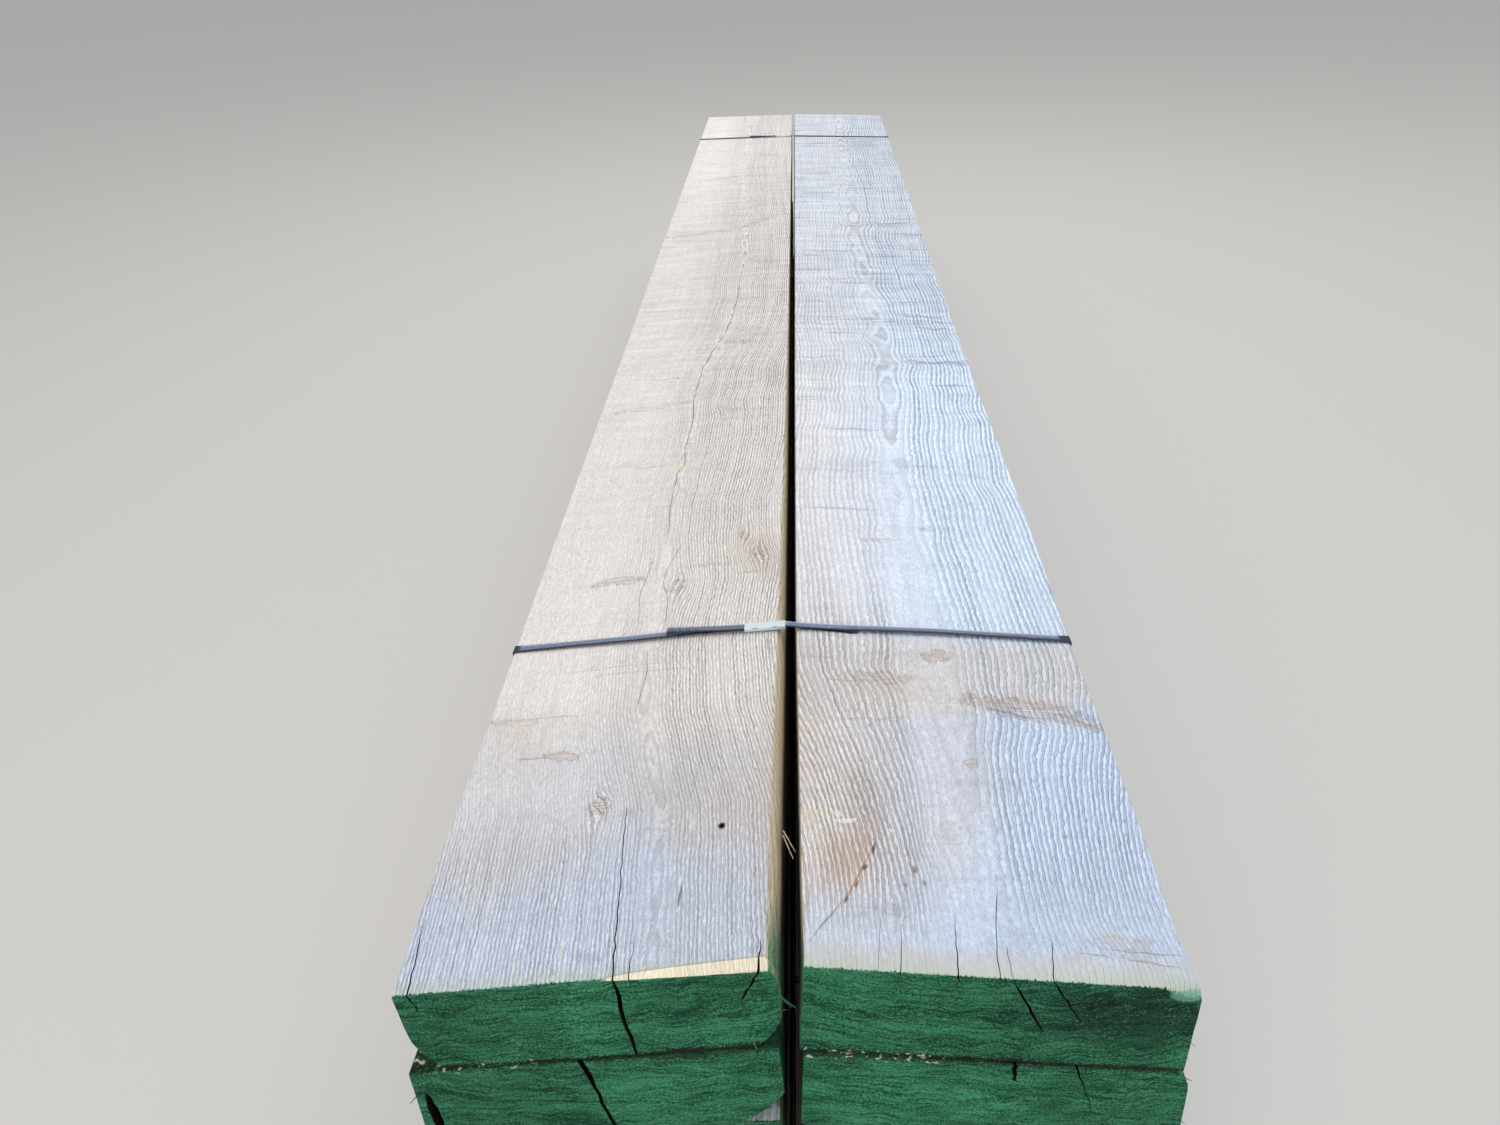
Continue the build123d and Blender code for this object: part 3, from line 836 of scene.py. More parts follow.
def pocket_cutter(column, layer, pocket):
    """A slender rugged plug that opens a bark pocket in the near end."""
    plug = bmesh.new()
    bmesh.ops.create_icosphere(plug, subdivisions=4, radius=1)
    x = column.side * (middle(column, layer) + pocket.out * MM)
    y = end_y(column, layer, -1, abs(x))
    z = surface(column, layer, abs(x), y)[1] - pocket.below * MM
    size = Matrix.Diagonal((pocket.width / 2 * MM, pocket.depth * MM, pocket.height / 2 * MM, 1))
    turn = Matrix.Rotation(math.radians(-pocket.turn), 4, "Y")
    place = Matrix.Translation((x + STACK_SHIFT[0], y + STACK_SHIFT[1], z))
    for vert in plug.verts:
        vert.co *= 1 + 0.22 * noise.noise(vert.co * 2.3)
    bmesh.ops.transform(plug, matrix=place @ turn @ size, verts=plug.verts)
    return plug


def crack_cutter(column, layer, crack, seed):
    """A thin jagged wedge along a crack in the top face."""
    rng = random.Random(seed)
    points = np.array(crack.points) * MM
    points = points[np.argsort(points[:, 1])]
    low, high = points[0, 1], points[-1, 1]
    count = max(4, round((high - low) / (14 * MM)))
    ys = np.linspace(low, high, count + 1)
    xs = np.interp(ys, points[:, 1], points[:, 0])

    def station(i):
        x = xs[i] + rng.uniform(-1, 1) * 0.7 * MM
        y = ys[i]
        share = i / count
        swell = math.sqrt(max(0.0, 1 - (2 * share - 1) ** 6))
        width = (crack.width * swell * rng.uniform(0.4, 1.0) + 0.1) * MM
        depth = (crack.depth * swell + 0.5) * MM
        top = surface(column, layer, abs(x), y)[1]

        def sides(up):
            half = width / 2 * (0.1 + 0.9 * up)
            z = top - depth + (depth + 1.5 * MM) * up
            return [(x - half, y, z), (x + half, y, z)]

        return sides

    return strip([station(i) for i in range(count + 1)], 2)


def nail_cutter(x, y, top, radius):
    """A drill-like pin that opens a nail hole."""
    pin = bmesh.new()
    bmesh.ops.create_cone(
        pin, cap_ends=True, segments=12, radius1=radius * 0.8, radius2=radius, depth=NAIL_DEPTH
    )
    bmesh.ops.translate(pin, verts=pin.verts, vec=(x, y, top - NAIL_DEPTH / 2 + 1 * MM))
    return pin


def fibres_of(column, layer, seed):
    """Roots and tips of one board's loose fibres, along its outer arris and at its near end."""
    key = (column.name, from_top(layer))
    fibres = [tuple(np.array(point) * MM for point in pair) for pair in FIBRES.get(key, ())]
    along, beside = EDGE_FIBRES.get(key, (0, 0))
    rng = random.Random(seed)
    out = inner_edge(column, layer) + BOARD_WIDTH
    for i in range(along + beside):
        on_arris = i < along
        y = rng.uniform(-1.8, -1.0) if on_arris else rng.uniform(-1.824, -1.80)
        spread = end_spread(column, layer, y - NEAR_END, 0.5)
        trim = outer_trim(column, layer, np.float64(y)) - spread
        low, high = surface(column, layer, out, y)
        z = high - 3 * MM if on_arris else low + (high - low) * rng.uniform(0.1, 0.75)
        root = np.array((column.side * (out - trim - 3 * MM), y, z))
        size = rng.uniform(5, 9) if on_arris else rng.uniform(10, 19)
        drop = rng.uniform(-0.2, 0.5) if on_arris else rng.uniform(-1.2, -0.3)
        step = np.array((column.side * rng.uniform(0.6, 1), rng.uniform(-0.5, 0.3), drop))
        fibres.append((root, root + step * size * MM))
    return fibres


def add_fibres(mesh, fibres):
    """Join slender fibres to a board's mesh."""
    block = bmesh.new()
    block.from_mesh(mesh)
    for root, tip in fibres:
        run = Vector(tip - root)
        turn = run.to_track_quat("Z", "Y").to_matrix().to_4x4()
        bmesh.ops.create_cone(
            block,
            cap_ends=True,
            segments=4,
            radius1=FIBRE_RADIUS,
            radius2=FIBRE_RADIUS * 0.4,
            depth=run.length,
            matrix=Matrix.Translation(Vector((root + tip) / 2)) @ turn,
        )
    block.to_mesh(mesh)
    block.free()


def as_mesh(block, name):
    """Turn a finished block into a mesh."""
    mesh = bpy.data.meshes.new(name)
    block.to_mesh(mesh)
    block.free()
    return mesh


def place_mesh(mesh, name):
    """Put a mesh into the scene as an object at the origin."""
    piece = bpy.data.objects.new(name, mesh)
    bpy.context.scene.collection.objects.link(piece)
    return piece


def cut(block, cutters):
    """Take all the cutters away from a block; the faces that they leave get the second material."""
    whole = place_mesh(as_mesh(block, "block"), "block")
    tools = bpy.data.collections.new("tools")
    bpy.context.scene.collection.children.link(tools)
    for cutter in cutters:
        bmesh.ops.recalc_face_normals(cutter, faces=cutter.faces)
        for face in cutter.faces:
            face.material_index = 1
        tools.objects.link(bpy.data.objects.new("tool", as_mesh(cutter, "tool")))
    for used in (whole, *tools.objects):
        used.data.materials.append(None)
        used.data.materials.append(None)
    modifier = whole.modifiers.new("cut", "BOOLEAN")
    modifier.operation = "DIFFERENCE"
    modifier.solver = "MANIFOLD"
    modifier.material_mode = "INDEX"
    modifier.operand_type = "COLLECTION"
    modifier.collection = tools
    bpy.context.view_layer.update()
    seen = whole.evaluated_get(bpy.context.evaluated_depsgraph_get())
    result = bpy.data.meshes.new_from_object(seen)
    for used in (whole, *tools.objects):
        bpy.data.objects.remove(used)
    bpy.data.collections.remove(tools)
    return result


def heart(column, layer):
    """The tree's heart along a board: arrays x and y, and its height above the top face."""
    if layer == TOP:
        line = LEFT_HEART if column is LEFT else RIGHT_HEART
        xs, ys = np.array(line).T * MM
        return xs, ys, HEART_HEIGHTS[column.name]
    rng = random.Random(column.side * 10 + layer)
    centre = column.side * (inner_edge(column, layer) + BOARD_WIDTH * rng.uniform(0.35, 0.65))
    ys = np.linspace(-1.9, 1.9, 7)
    xs = np.array([centre + rng.uniform(-14, 14) * MM for _ in ys])
    height = rng.choice((-150, -128, 30, 48, -60)) * MM
    return xs, ys, height


def knots_of(column, layer):
    """The knots in the top face of a board."""
    if layer == TOP:
        return LEFT_KNOTS if column is LEFT else RIGHT_KNOTS
    rng = random.Random(column.side * 50 + layer)
    knots = []
    for i in range(5):
        x = column.side * (middle(column, layer) / MM + rng.uniform(-110, 110))
        y = (i - 2 + rng.uniform(-0.35, 0.35)) * 700
        knots.append(Knot(x, y, rng.uniform(14, 34), rng.uniform(8, 13), rng.uniform(-12, 12), 0.7))
    return tuple(knots)


def side_knots_of(column, layer):
    """Knots that come out in a board's sides, as (x, y, z, half length, half height) in metres."""
    rng = random.Random(column.side * 90 + layer)
    knots = []
    for side_share in (0, 1):
        y = -BOARD_LENGTH / 2 + rng.uniform(0.3, 1) * KNOT_SPACING
        while y < BOARD_LENGTH / 2 - 0.1:
            out = inner_edge(column, layer) + side_share * BOARD_WIDTH
            low, high = surface(column, layer, out, y)
            z = low + (high - low) * rng.uniform(0.2, 0.8)
            half = rng.uniform(7, 15) * MM
            knots.append((column.side * out, y, z, half * rng.uniform(1, 1.5), half))
            y += rng.uniform(0.6, 1.5) * KNOT_SPACING
    return knots


def grain_bend(places, column, layer):
    """How far each place is shifted to find its place in the straight tree, heart on the Y axis."""
    xs, ys, height = heart(column, layer)
    x, y, z = places.T
    order = np.argsort(ys)
    heart_x = np.interp(y, ys[order], xs[order])
    top = surface(column, layer, np.abs(heart_x), y)[1]
    seed = column.side * 11 + layer
    bend = np.zeros_like(places)
    left = column is LEFT
    slow = soft_noise(places, (4, 1.6, 4), seed) * (3 if left else 6)
    away = np.clip((y + 1.45) / 0.9, 0, 1)
    medium = soft_noise(places, (10, 9, 10), seed + 1) * (1.1 if left else 2.2)
    quick = soft_noise(places, (34, 30, 34), seed + 2) * (0.6 if left else 0.9)
    ripple = soft_noise(places, (7, 14, 7), seed + 5)
    ripple += 0.5 * soft_noise(places, (12, 27, 12), seed + 8)
    ripple *= away * (3.0 if left else 7.0)
    bend[:, 0] = (slow + medium + quick + ripple) * MM
    fall = soft_noise(places, (9, 26, 9), seed + 6) * 0.7
    bend[:, 2] = ((slow - medium) * 0.4 + ripple * 0.3 + fall) * MM
    bend[:, 2] += soft_noise(places, (5, 8, 5), seed + 9) * away * (9 if left else 17) * MM
    if left:
        bend[:, 2] += soft_noise(places, (30, 18, 30), seed + 7) * 4 * MM
    for knot in knots_of(column, layer):
        turn = math.radians(knot.turn)
        away_x = x - knot.x * MM
        away_y = y - knot.y * MM
        across = away_x * math.cos(turn) + away_y * math.sin(turn)
        along = away_y * math.cos(turn) - away_x * math.sin(turn)
        reach_x = knot.across * 1.5 * MM + 4 * MM
        reach_y = knot.along * 2.2 * MM + 12 * MM
        near = np.exp(-((across / reach_x) ** 2) - (along / reach_y) ** 2)
        if knot.across < 1.4 * knot.along:
            bend[:, 0] -= away_x * 0.8 * near
        else:
            bend[:, 0] += along * 0.35 * near
            bend[:, 2] += knot.along * 0.5 * MM * near
    for knot_x, knot_y, knot_z, _, half in side_knots_of(column, layer):
        near = np.exp(
            -(((x - knot_x) / 0.05) ** 2)
            - ((y - knot_y) / (3 * half)) ** 2
            - ((z - knot_z) / (1.8 * half)) ** 2
        )
        bend[:, 2] -= (z - knot_z) * 0.8 * near
    bend[:, 0] -= heart_x
    bend[:, 2] -= top + height
    return bend


def board_place(places, column, layer):
    """Each place as distances from the board's inner edge, its near end and its top face."""
    out = column.side * (places[:, 0] - STACK_SHIFT[0])
    y = places[:, 1] - STACK_SHIFT[1]
    from_end = y - end_y(column, layer, -1, out)
    below = surface(column, layer, out, y)[1] - places[:, 2]
    inward = out - inner_edge(column, layer) + gap_swell(column, layer, y)
    return np.stack([inward, from_end, below], axis=1)


def write_attribute(mesh, name, values):
    """Keep a vector for each vertex of a mesh."""
    attribute = mesh.attributes.new(name, "FLOAT_VECTOR", "POINT")
    attribute.data.foreach_set("vector", values.astype(np.float32).ravel())


def board_grid(layer, height):
    """A closed block with close grid lines at its edges and near end, and its vertices' shares."""
    last = BOARD_LENGTH / MM
    if layer == TOP:
        along = steps((20, 2.2), (260, 5), (1400, 12), (last - 20, 20), (last, 5))
        across = edge_steps(BOARD_WIDTH / MM, 1.4, 3.1, 3.4)
        up = edge_steps(height / MM, 1.4, 3.1, 5)
    else:
        along = steps((20, 4), (200, 10), (last - 20, 24), (last, 5))
        across = edge_steps(BOARD_WIDTH / MM, 2, 6, 10)
        up = edge_steps(height / MM, 2, 6, 8)
    return sawn_block(across, along, up)


def board_places(shares, column, layer, seed):
    """Places of a block's vertices on the rough-sawn board: arrises, wanes, waves and chips."""
    key = (column.name, from_top(layer))
    height = thickness(column, layer)
    rough = grid_places(column, layer, shares[:, 0], shares[:, 1], shares[:, 2])
    radius = (2.2 + 1.3 * soft_noise(rough, (20, 28, 20), seed)) * MM
    moved = round_arris(shares, (BOARD_WIDTH, height), radius)
    for wane in WANES.get(key, ()):
        moved = wane_shares(moved, wane, height)
    places = grid_places(column, layer, moved[:, 0], moved[:, 1], moved[:, 2])

    waves = soft_noise(rough, (5, 26, 5), seed + 1)
    waves += 0.5 * soft_noise(rough, (30, 60, 30), seed + 2)
    broad = soft_noise(rough, (4, 2.2, 4), seed + 3)
    sunk = (0.55 + 0.3 * waves + 0.35 * broad) * MM
    for axis, low_side in ((0, column.side), (2, 1)):
        share = shares[:, axis]
        direction = np.where(share < 0.001, low_side, np.where(share > 0.999, -low_side, 0))
        places[:, axis] += direction * np.maximum(sunk, 0)
    inner = np.clip(1 - shares[:, 0] / GAP_SWELL_REACH, 0, 1) ** 2
    outer_half = np.clip(shares[:, 0] * 2 - 1, 0, 1)
    outer_quarter = np.clip(shares[:, 0] * 4 - 3, 0, 1)
    spread = end_spread(column, layer, shares[:, 1] * BOARD_LENGTH, shares[:, 2])
    places[:, 0] -= column.side * gap_swell(column, layer, places[:, 1]) * inner
    places[:, 0] -= column.side * outer_trim(column, layer, places[:, 1]) * outer_half
    places[:, 0] += column.side * spread * outer_quarter
    hollow = np.maximum(0.5 * MM + 0.6 * MM * soft_noise(rough, (60, 9, 60), seed + 4), 0)
    at_far_end = np.where(shares[:, 1] > 0.9999, -hollow, 0)
    places[:, 1] += np.where(shares[:, 1] < 0.0001, hollow, at_far_end)

    for chip in CHIPS.get(key, ()):
        places = break_chip(places, column, layer, chip, seed)
    return places


def board_cutters(column, layer, seed):
    """Everything that opens a board: its bark pocket, end splits, cracks and nail holes."""
    name, row = column.name, from_top(layer)
    cutters = [pocket_cutter(column, layer, pocket) for pocket in POCKETS.get((name, row), ())]
    for end in (-1, 1):
        for i, check in enumerate(CHECKS[name, end][row]):
            cutters.append(check_cutter(column, layer, end, check, seed * 100 + end * 10 + i))
    cracks = LEFT_CRACKS if column is LEFT else RIGHT_CRACKS
    for i, crack in enumerate(cracks if layer == TOP else ()):
        cutters.append(crack_cutter(column, layer, crack, seed * 10 + 5 + i))
    if layer == TOP and column is LEFT:
        for x, y, radius in np.array(NAILS) * MM:
            top = surface(column, layer, abs(x), y)[1]
            cutters.append(nail_cutter(x, y, top, radius))
    return cutters


def make_board(column, layer, finish):
    """Saw one board, open its splits and cracks, and give it its wood."""
    seed = column.side * 20 + layer
    block, shares = board_grid(layer, thickness(column, layer))
    for vert, place in zip(block.verts, board_places(shares, column, layer, seed)):
        vert.co = place
    bmesh.ops.recalc_face_normals(block, faces=block.faces)
    mesh = cut(block, board_cutters(column, layer, seed))
    fibres = fibres_of(column, layer, seed)
    if fibres:
        add_fibres(mesh, fibres)
    mesh.name = f"rough_board_{column.name}_{layer + 1}"
    board = place_mesh(mesh, mesh.name)
    co = np.empty(len(mesh.vertices) * 3)
    mesh.vertices.foreach_get("co", co)
    co = co.reshape(-1, 3)
    write_attribute(mesh, "grain_bend", grain_bend(co, column, layer))
    write_attribute(mesh, "board_place", board_place(co, column, layer))
    opened = np.zeros(len(mesh.polygons), dtype=np.int32)
    mesh.polygons.foreach_get("material_index", opened)
    mesh.materials.clear()
    mesh.materials.append(wood(column, layer, finish))
    # The faces opened by the cutters get near-black painted shade
    mesh.materials.append(split_shade_material(finish))
    mesh.polygons.foreach_set("material_index", opened)
    mesh.shade_smooth()
    mesh.set_sharp_from_angle(angle=math.radians(38))
    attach(board, "root")
    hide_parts(f"board_{column.name}_{layer + 1}")
    return board


class Tree:
    """Short ways to add and link the nodes of one material or of a group of nodes."""

    def __init__(self, tree):
        self.tree = tree
        self.tree.nodes.clear()

    def make(self, kind, *values, **settings):
        """A new node with its settings and its first inputs."""
        node = self.tree.nodes.new(f"ShaderNode{kind}")
        for name, setting in settings.items():
            setattr(node, name, setting)
        for socket, value in zip(node.inputs, values):
            self.put(socket, value)
        return node

    def put(self, socket, value):
        """Link or set one input, and leave it as it is for None."""
        if isinstance(value, bpy.types.NodeSocket):
            self.tree.links.new(value, socket)
        elif value is not None:
            socket.default_value = value

    def start_shader(self):
        """Give a material its shader and its place on the object."""
        output = self.make("OutputMaterial")
        self.shader = self.make("BsdfPrincipled")
        self.tree.links.new(self.shader.outputs["BSDF"], output.inputs["Surface"])
        self.place = self.make("TexCoord").outputs["Object"]
        self.bent = self.place

    def finish(self, name, value):
        """Link or set one input of the shader."""
        self.put(self.shader.inputs[name], value)

    def start_group(self, inputs, outputs):
        """Give a group its sockets, from names and kinds, and return those that come in."""
        for sockets, in_out in ((inputs, "INPUT"), (outputs, "OUTPUT")):
            for name, kind in sockets.items():
                socket_type = f"NodeSocket{kind}"
                self.tree.interface.new_socket(name=name, in_out=in_out, socket_type=socket_type)
        self.end = self.tree.nodes.new("NodeGroupOutput")
        return self.tree.nodes.new("NodeGroupInput").outputs

    def use(self, group, **values):
        """A node that runs a group with the given inputs."""
        node = self.make("Group", node_tree=group)
        for name, value in values.items():
            self.put(node.inputs[name], value)
        return node.outputs

    def math(self, operation, a, b=None, c=None):
        """One Math node."""
        return self.make("Math", a, b, c, operation=operation).outputs[0]

    def add(self, *values):
        """Sum of several values."""
        return functools.reduce(functools.partial(self.math, "ADD"), values)

    def most(self, *values):
        """The largest of several values."""
        return functools.reduce(functools.partial(self.math, "MAXIMUM"), values)

    def less(self, a, b):
        """A value less another."""
        return self.math("SUBTRACT", a, b)

    def times(self, a, b):
        """Product of two values."""
        return self.math("MULTIPLY", a, b)

    def line(self, value, slope, start):
        """A value times a slope, plus a start."""
        return self.math("MULTIPLY_ADD", value, slope, start)

    def swing(self, value, size):
        """A value from 0 to 1 turned into one from -size to size."""
        return self.line(value, 2 * size, -size)

    def fade(self, value, start, end, low=0.0, high=1.0, straight=False):
        """Smooth step or straight line from low at start to high at end, and level beyond.

        A smooth step stays between its ends without a clamp, which saves room in the material.
        """
        kind = "LINEAR" if straight else "SMOOTHSTEP"
        values = (value, start, end, low, high)
        return self.make("MapRange", *values, interpolation_type=kind, clamp=straight).outputs[0]

    def vector(self, operation, a, b=None):
        """One Vector Math node."""
        node = self.make("VectorMath", a, b, operation=operation)
        return node.outputs["Value" if operation in ("DOT_PRODUCT", "LENGTH") else "Vector"]

    def combine(self, x=0.0, y=0.0, z=0.0):
        """A vector of three parts."""
        return self.make("CombineXYZ", x, y, z).outputs[0]

    def axes(self, value):
        """The three parts of a vector, one dot product each, which needs less room."""
        units = ((1, 0, 0), (0, 1, 0), (0, 0, 1))
        return [self.vector("DOT_PRODUCT", value, unit) for unit in units]

    def attribute(self, name):
        """A vector kept for each vertex."""
        return self.make("Attribute", attribute_name=name).outputs["Vector"]

    def noise_at(self, vector, detail=2.0, roughness=0.5):
        """Noise from 0 to 1 at a vector of its own."""
        node = self.make("TexNoise", vector)
        for name, value in (("Scale", 1), ("Detail", detail), ("Roughness", roughness)):
            node.inputs[name].default_value = value
        return node.outputs["Fac"]

    def noise(self, scales, detail=2.0, roughness=0.5, shift=(0, 0, 0)):
        """Noise from 0 to 1, with its own scale in 1/m along each axis."""
        node = self.make("Mapping", self.place)
        node.inputs["Scale"].default_value = scales
        node.inputs["Location"].default_value = shift
        return self.noise_at(node.outputs[0], detail, roughness)

    def spot_on_end(self, x, z, across, height):
        """Distance from a place on the near end, as a share of two half sizes."""
        node = self.make("Mapping", self.place, vector_type="TEXTURE")
        node.inputs["Location"].default_value = (x, NEAR_END, z)
        node.inputs["Scale"].default_value = (across, 2 * MARK_DEPTH, height)
        return self.vector("LENGTH", node.outputs[0])

    def grey(self, value):
        """A colour of one value."""
        return self.make("CombineColor", value, value, value).outputs[0]

    def mix(self, share, a, b, blend="MIX"):
        """Mix of two colours."""
        node = self.make("Mix", share, data_type="RGBA", blend_type=blend)
        for socket, colour in zip(node.inputs[6:8], (a, b)):
            self.put(socket, colour if isinstance(colour, bpy.types.NodeSocket) else (*colour, 1))
        return node.outputs[2]

    def lay_over(self, colour, top, mask, share):
        """A second colour laid over a first one where a mask is, up to a share."""
        return self.mix(self.times(mask, share), colour, top)

    def shade(self, colour, value):
        """A colour times a value."""
        return self.mix(1.0, colour, self.grey(value), "MULTIPLY")

    def bump(self, height, distance):
        """Relief from a height between 0 and 1 and its depth."""
        node = self.make("Bump")
        node.inputs["Strength"].default_value = 1
        node.inputs["Distance"].default_value = distance
        self.put(node.inputs["Height"], height)
        return node.outputs[0]


def ring_lines(tree, straight, spacing, jitter, density):
    """Dark late wood of the growth rings, from 0 to 1, and the number of each year's ring."""
    x, _, z = tree.axes(straight)
    radius = tree.vector("LENGTH", tree.combine(x, 0.0, z))
    count = tree.line(tree.times(radius, 1 / spacing), density, jitter)
    for size, waves, start in RING_SWINGS:
        wave = tree.math("SINE", tree.line(radius, waves, start))
        count = tree.line(wave, size, count)
    phase = tree.math("FRACT", count)
    return tree.less(tree.fade(phase, 0.30, 0.78), tree.fade(phase, 0.86, 1.0)), count


def bare_colour_left(tree, finish, x, y, cloud):
    """Bare wood of the left column: bluish at the near end, warm and pale away from it."""
    edge_y = tree.add(y, tree.swing(cloud, 0.12))
    edge_x = tree.add(x, tree.swing(cloud, 0.05))
    across = tree.fade(edge_x, -0.22, -0.06)
    cold = tree.mix(across, finish.cold_wood, finish.cold_shade)
    dull = tree.mix(across, finish.dull_wood, finish.dull_shade)
    warm = tree.mix(across, finish.warm_wood, finish.warm_shade)
    colour = tree.mix(tree.fade(edge_y, -1.77, -1.66), cold, dull)
    return tree.mix(tree.fade(edge_y, -1.62, -1.46), colour, warm)


def bare_colour_right(tree, finish, x, y, cloud):
    """Bare wood of the right column: pinkish inside, blue outside, duller before the strap."""
    edge_y = tree.add(y, tree.swing(cloud, 0.10))
    edge_x = tree.add(x, tree.swing(cloud, 0.05))
    inside = tree.fade(edge_x, 0.045, 0.13)
    bound = tree.line(tree.fade(y, -1.58, -1.80), -0.06, 0.205)
    bound = tree.line(tree.fade(y, -1.40, -1.30), -0.045, bound)
    outside = tree.fade(tree.less(edge_x, bound), -0.035, 0.03)
    near = tree.mix(inside, finish.grey_inner, finish.grey_middle)
    near = tree.mix(outside, near, finish.blue_outer)
    near = tree.mix(tree.fade(edge_y, -1.68, -1.80, 0, 0.8), near, finish.cold_end)
    far = tree.mix(inside, finish.far_inner, finish.far_middle)
    far = tree.mix(outside, far, finish.far_outer)
    far = tree.mix(tree.fade(y, -0.9, 0.6), far, finish.grey_far)
    colour = tree.mix(tree.fade(y, -1.42, -1.36), near, far)
    start = tree.line(tree.fade(x, 0.10, 0.30), -0.03, y)
    band = tree.times(tree.fade(start, -1.535, -1.50), tree.fade(y, -1.372, -1.40))
    return tree.lay_over(colour, finish.band_wood, band, 0.9)


def place_in_spot(tree, inputs):
    """Distance from a place as a share of three half sizes, inside a group."""
    away = tree.vector("SUBTRACT", inputs["place"], inputs["spot"])
    parts = [tree.vector("DOT_PRODUCT", away, inputs[axis]) for axis in ("side", "ahead", "rise")]
    return tree.add(tree.vector("LENGTH", tree.combine(*parts)), inputs["ragged"])


def spot_values(tree, spot, half, turn, ragged, strength):
    """Inputs of a group that works in a spot turned about Z."""
    return {
        "place": tree.bent,
        "spot": spot,
        "side": (math.cos(turn) / half[0], math.sin(turn) / half[0], 0),
        "ahead": (-math.sin(turn) / half[1], math.cos(turn) / half[1], 0),
        "rise": (0, 0, 1 / half[2]),
        "ragged": ragged,
        "strength": strength,
    }


SPOT_INPUTS = {
    **dict.fromkeys(("place", "spot", "side", "ahead", "rise"), "Vector"),
    **dict.fromkeys(("ragged", "strength"), "Float"),
}


def node_group(name, build):
    """A group of nodes that is made once and shared by all boards."""
    group = bpy.data.node_groups.get(name)
    if group is None:
        group = bpy.data.node_groups.new(name, "ShaderNodeTree")
        build(Tree(group))
    return group


def build_stain(tree):
    """How far a soft-edged stain covers the wood, joined with the stains before it."""
    sockets = dict.fromkeys(("cover", "outside", "inside"), "Float")
    inputs = tree.start_group({**sockets, **SPOT_INPUTS}, {"cover": "Float"})
    away = place_in_spot(tree, inputs)
    cover = tree.fade(away, inputs["outside"], inputs["inside"], 0.0, inputs["strength"])
    tree.put(tree.end.inputs["cover"], tree.most(inputs["cover"], cover))


def build_knot(tree):
    """One knot's body, rim and rings, each joined with those of the knots before it."""
    parts = {"body": "Float", "rim": "Float", "swirl": "Float"}
    inputs = tree.start_group({**parts, **SPOT_INPUTS}, parts)
    away = place_in_spot(tree, inputs)
    strength = inputs["strength"]
    body = tree.fade(away, 1.25, 0.5, 0.0, strength)
    rim = tree.times(tree.fade(away, 1.32, 1.1), tree.fade(away, 0.82, 1.05, 0.0, strength))
    lines = tree.fade(tree.math("SINE", tree.times(away, 19)), 0.1, 0.9)
    swirl = tree.times(lines, tree.fade(away, 2.2, 0.5, 0.0, strength))
    for name, value in (("body", body), ("rim", rim), ("swirl", swirl)):
        tree.put(tree.end.inputs[name], tree.most(inputs[name], value))


def draw_marks(tree, colour, column, layer, finish, ragged):
    """Stains, scars and a band of painted shade on a top face, laid over its colour."""
    stain = node_group("stain", build_stain)
    covers = {}
    for mark in (LEFT_MARKS if column is LEFT else RIGHT_MARKS) if layer == TOP else ():
        top = surface(column, layer, abs(mark.x) * MM, mark.y * MM)[1]
        spot = (mark.x * MM, mark.y * MM, top)
        half = (mark.across * MM, mark.along * MM, MARK_DEPTH)
        covers[mark.colour] = tree.use(
            stain,
            cover=covers.get(mark.colour, 0.0),
            outside=1 + mark.softness / 2,
            inside=1 - mark.softness,
            **spot_values(tree, spot, half, math.radians(mark.turn), ragged, mark.strength),
        )["cover"]
    for name, cover in covers.items():
        colour = tree.mix(cover, colour, getattr(finish, name))
    return colour


def draw_knots(tree, colour, column, layer, finish, ragged, broken):
    """Knots in the top face and the sides, laid over the wood's colour."""
    knot_nodes = node_group("knot", build_knot)
    places = []
    for knot in knots_of(column, layer):
        top = surface(column, layer, abs(knot.x) * MM, knot.y * MM)[1]
        spot = (knot.x * MM, knot.y * MM, top)
        half = (knot.across * MM, knot.along * MM, MARK_DEPTH)
        places.append((spot, half, math.radians(knot.turn), knot.strength))
    for x, y, z, half_length, half_height in side_knots_of(column, layer):
        places.append(((x, y, z), (0.02, half_length, half_height), 0, 0.85))
    sums = {"body": 0.0, "rim": 0.0, "swirl": 0.0}
    uneven = tree.times(ragged, 2.5)
    for spot, half, turn, strength in places:
        values = spot_values(tree, spot, half, turn, uneven, strength)
        outputs = tree.use(knot_nodes, **sums, **values)
        sums = {name: outputs[name] for name in sums}
    smear = tree.noise((55, 520, 55), 3, 0.6)
    colour = tree.lay_over(colour, finish.brown, sums["swirl"], 0.26)
    body = finish.tan if column is LEFT else finish.brown
    colour = tree.lay_over(colour, body, sums["body"], 0.26)
    dark_streaks = tree.times(sums["body"], tree.fade(smear, 0.46, 0.60))
    colour = tree.lay_over(colour, finish.brown, dark_streaks, 0.7)
    pale_streaks = tree.times(sums["body"], tree.fade(smear, 0.46, 0.34))
    colour = tree.lay_over(colour, finish.chalk, pale_streaks, 0.45)
    return tree.lay_over(colour, finish.bark, tree.times(sums["rim"], broken), 0.5)


def new_finish(name):
    """A new material and its nodes."""
    material = bpy.data.materials.new(name)
    material.use_nodes = True
    tree = Tree(material.node_tree)
    tree.start_shader()
    return material, tree


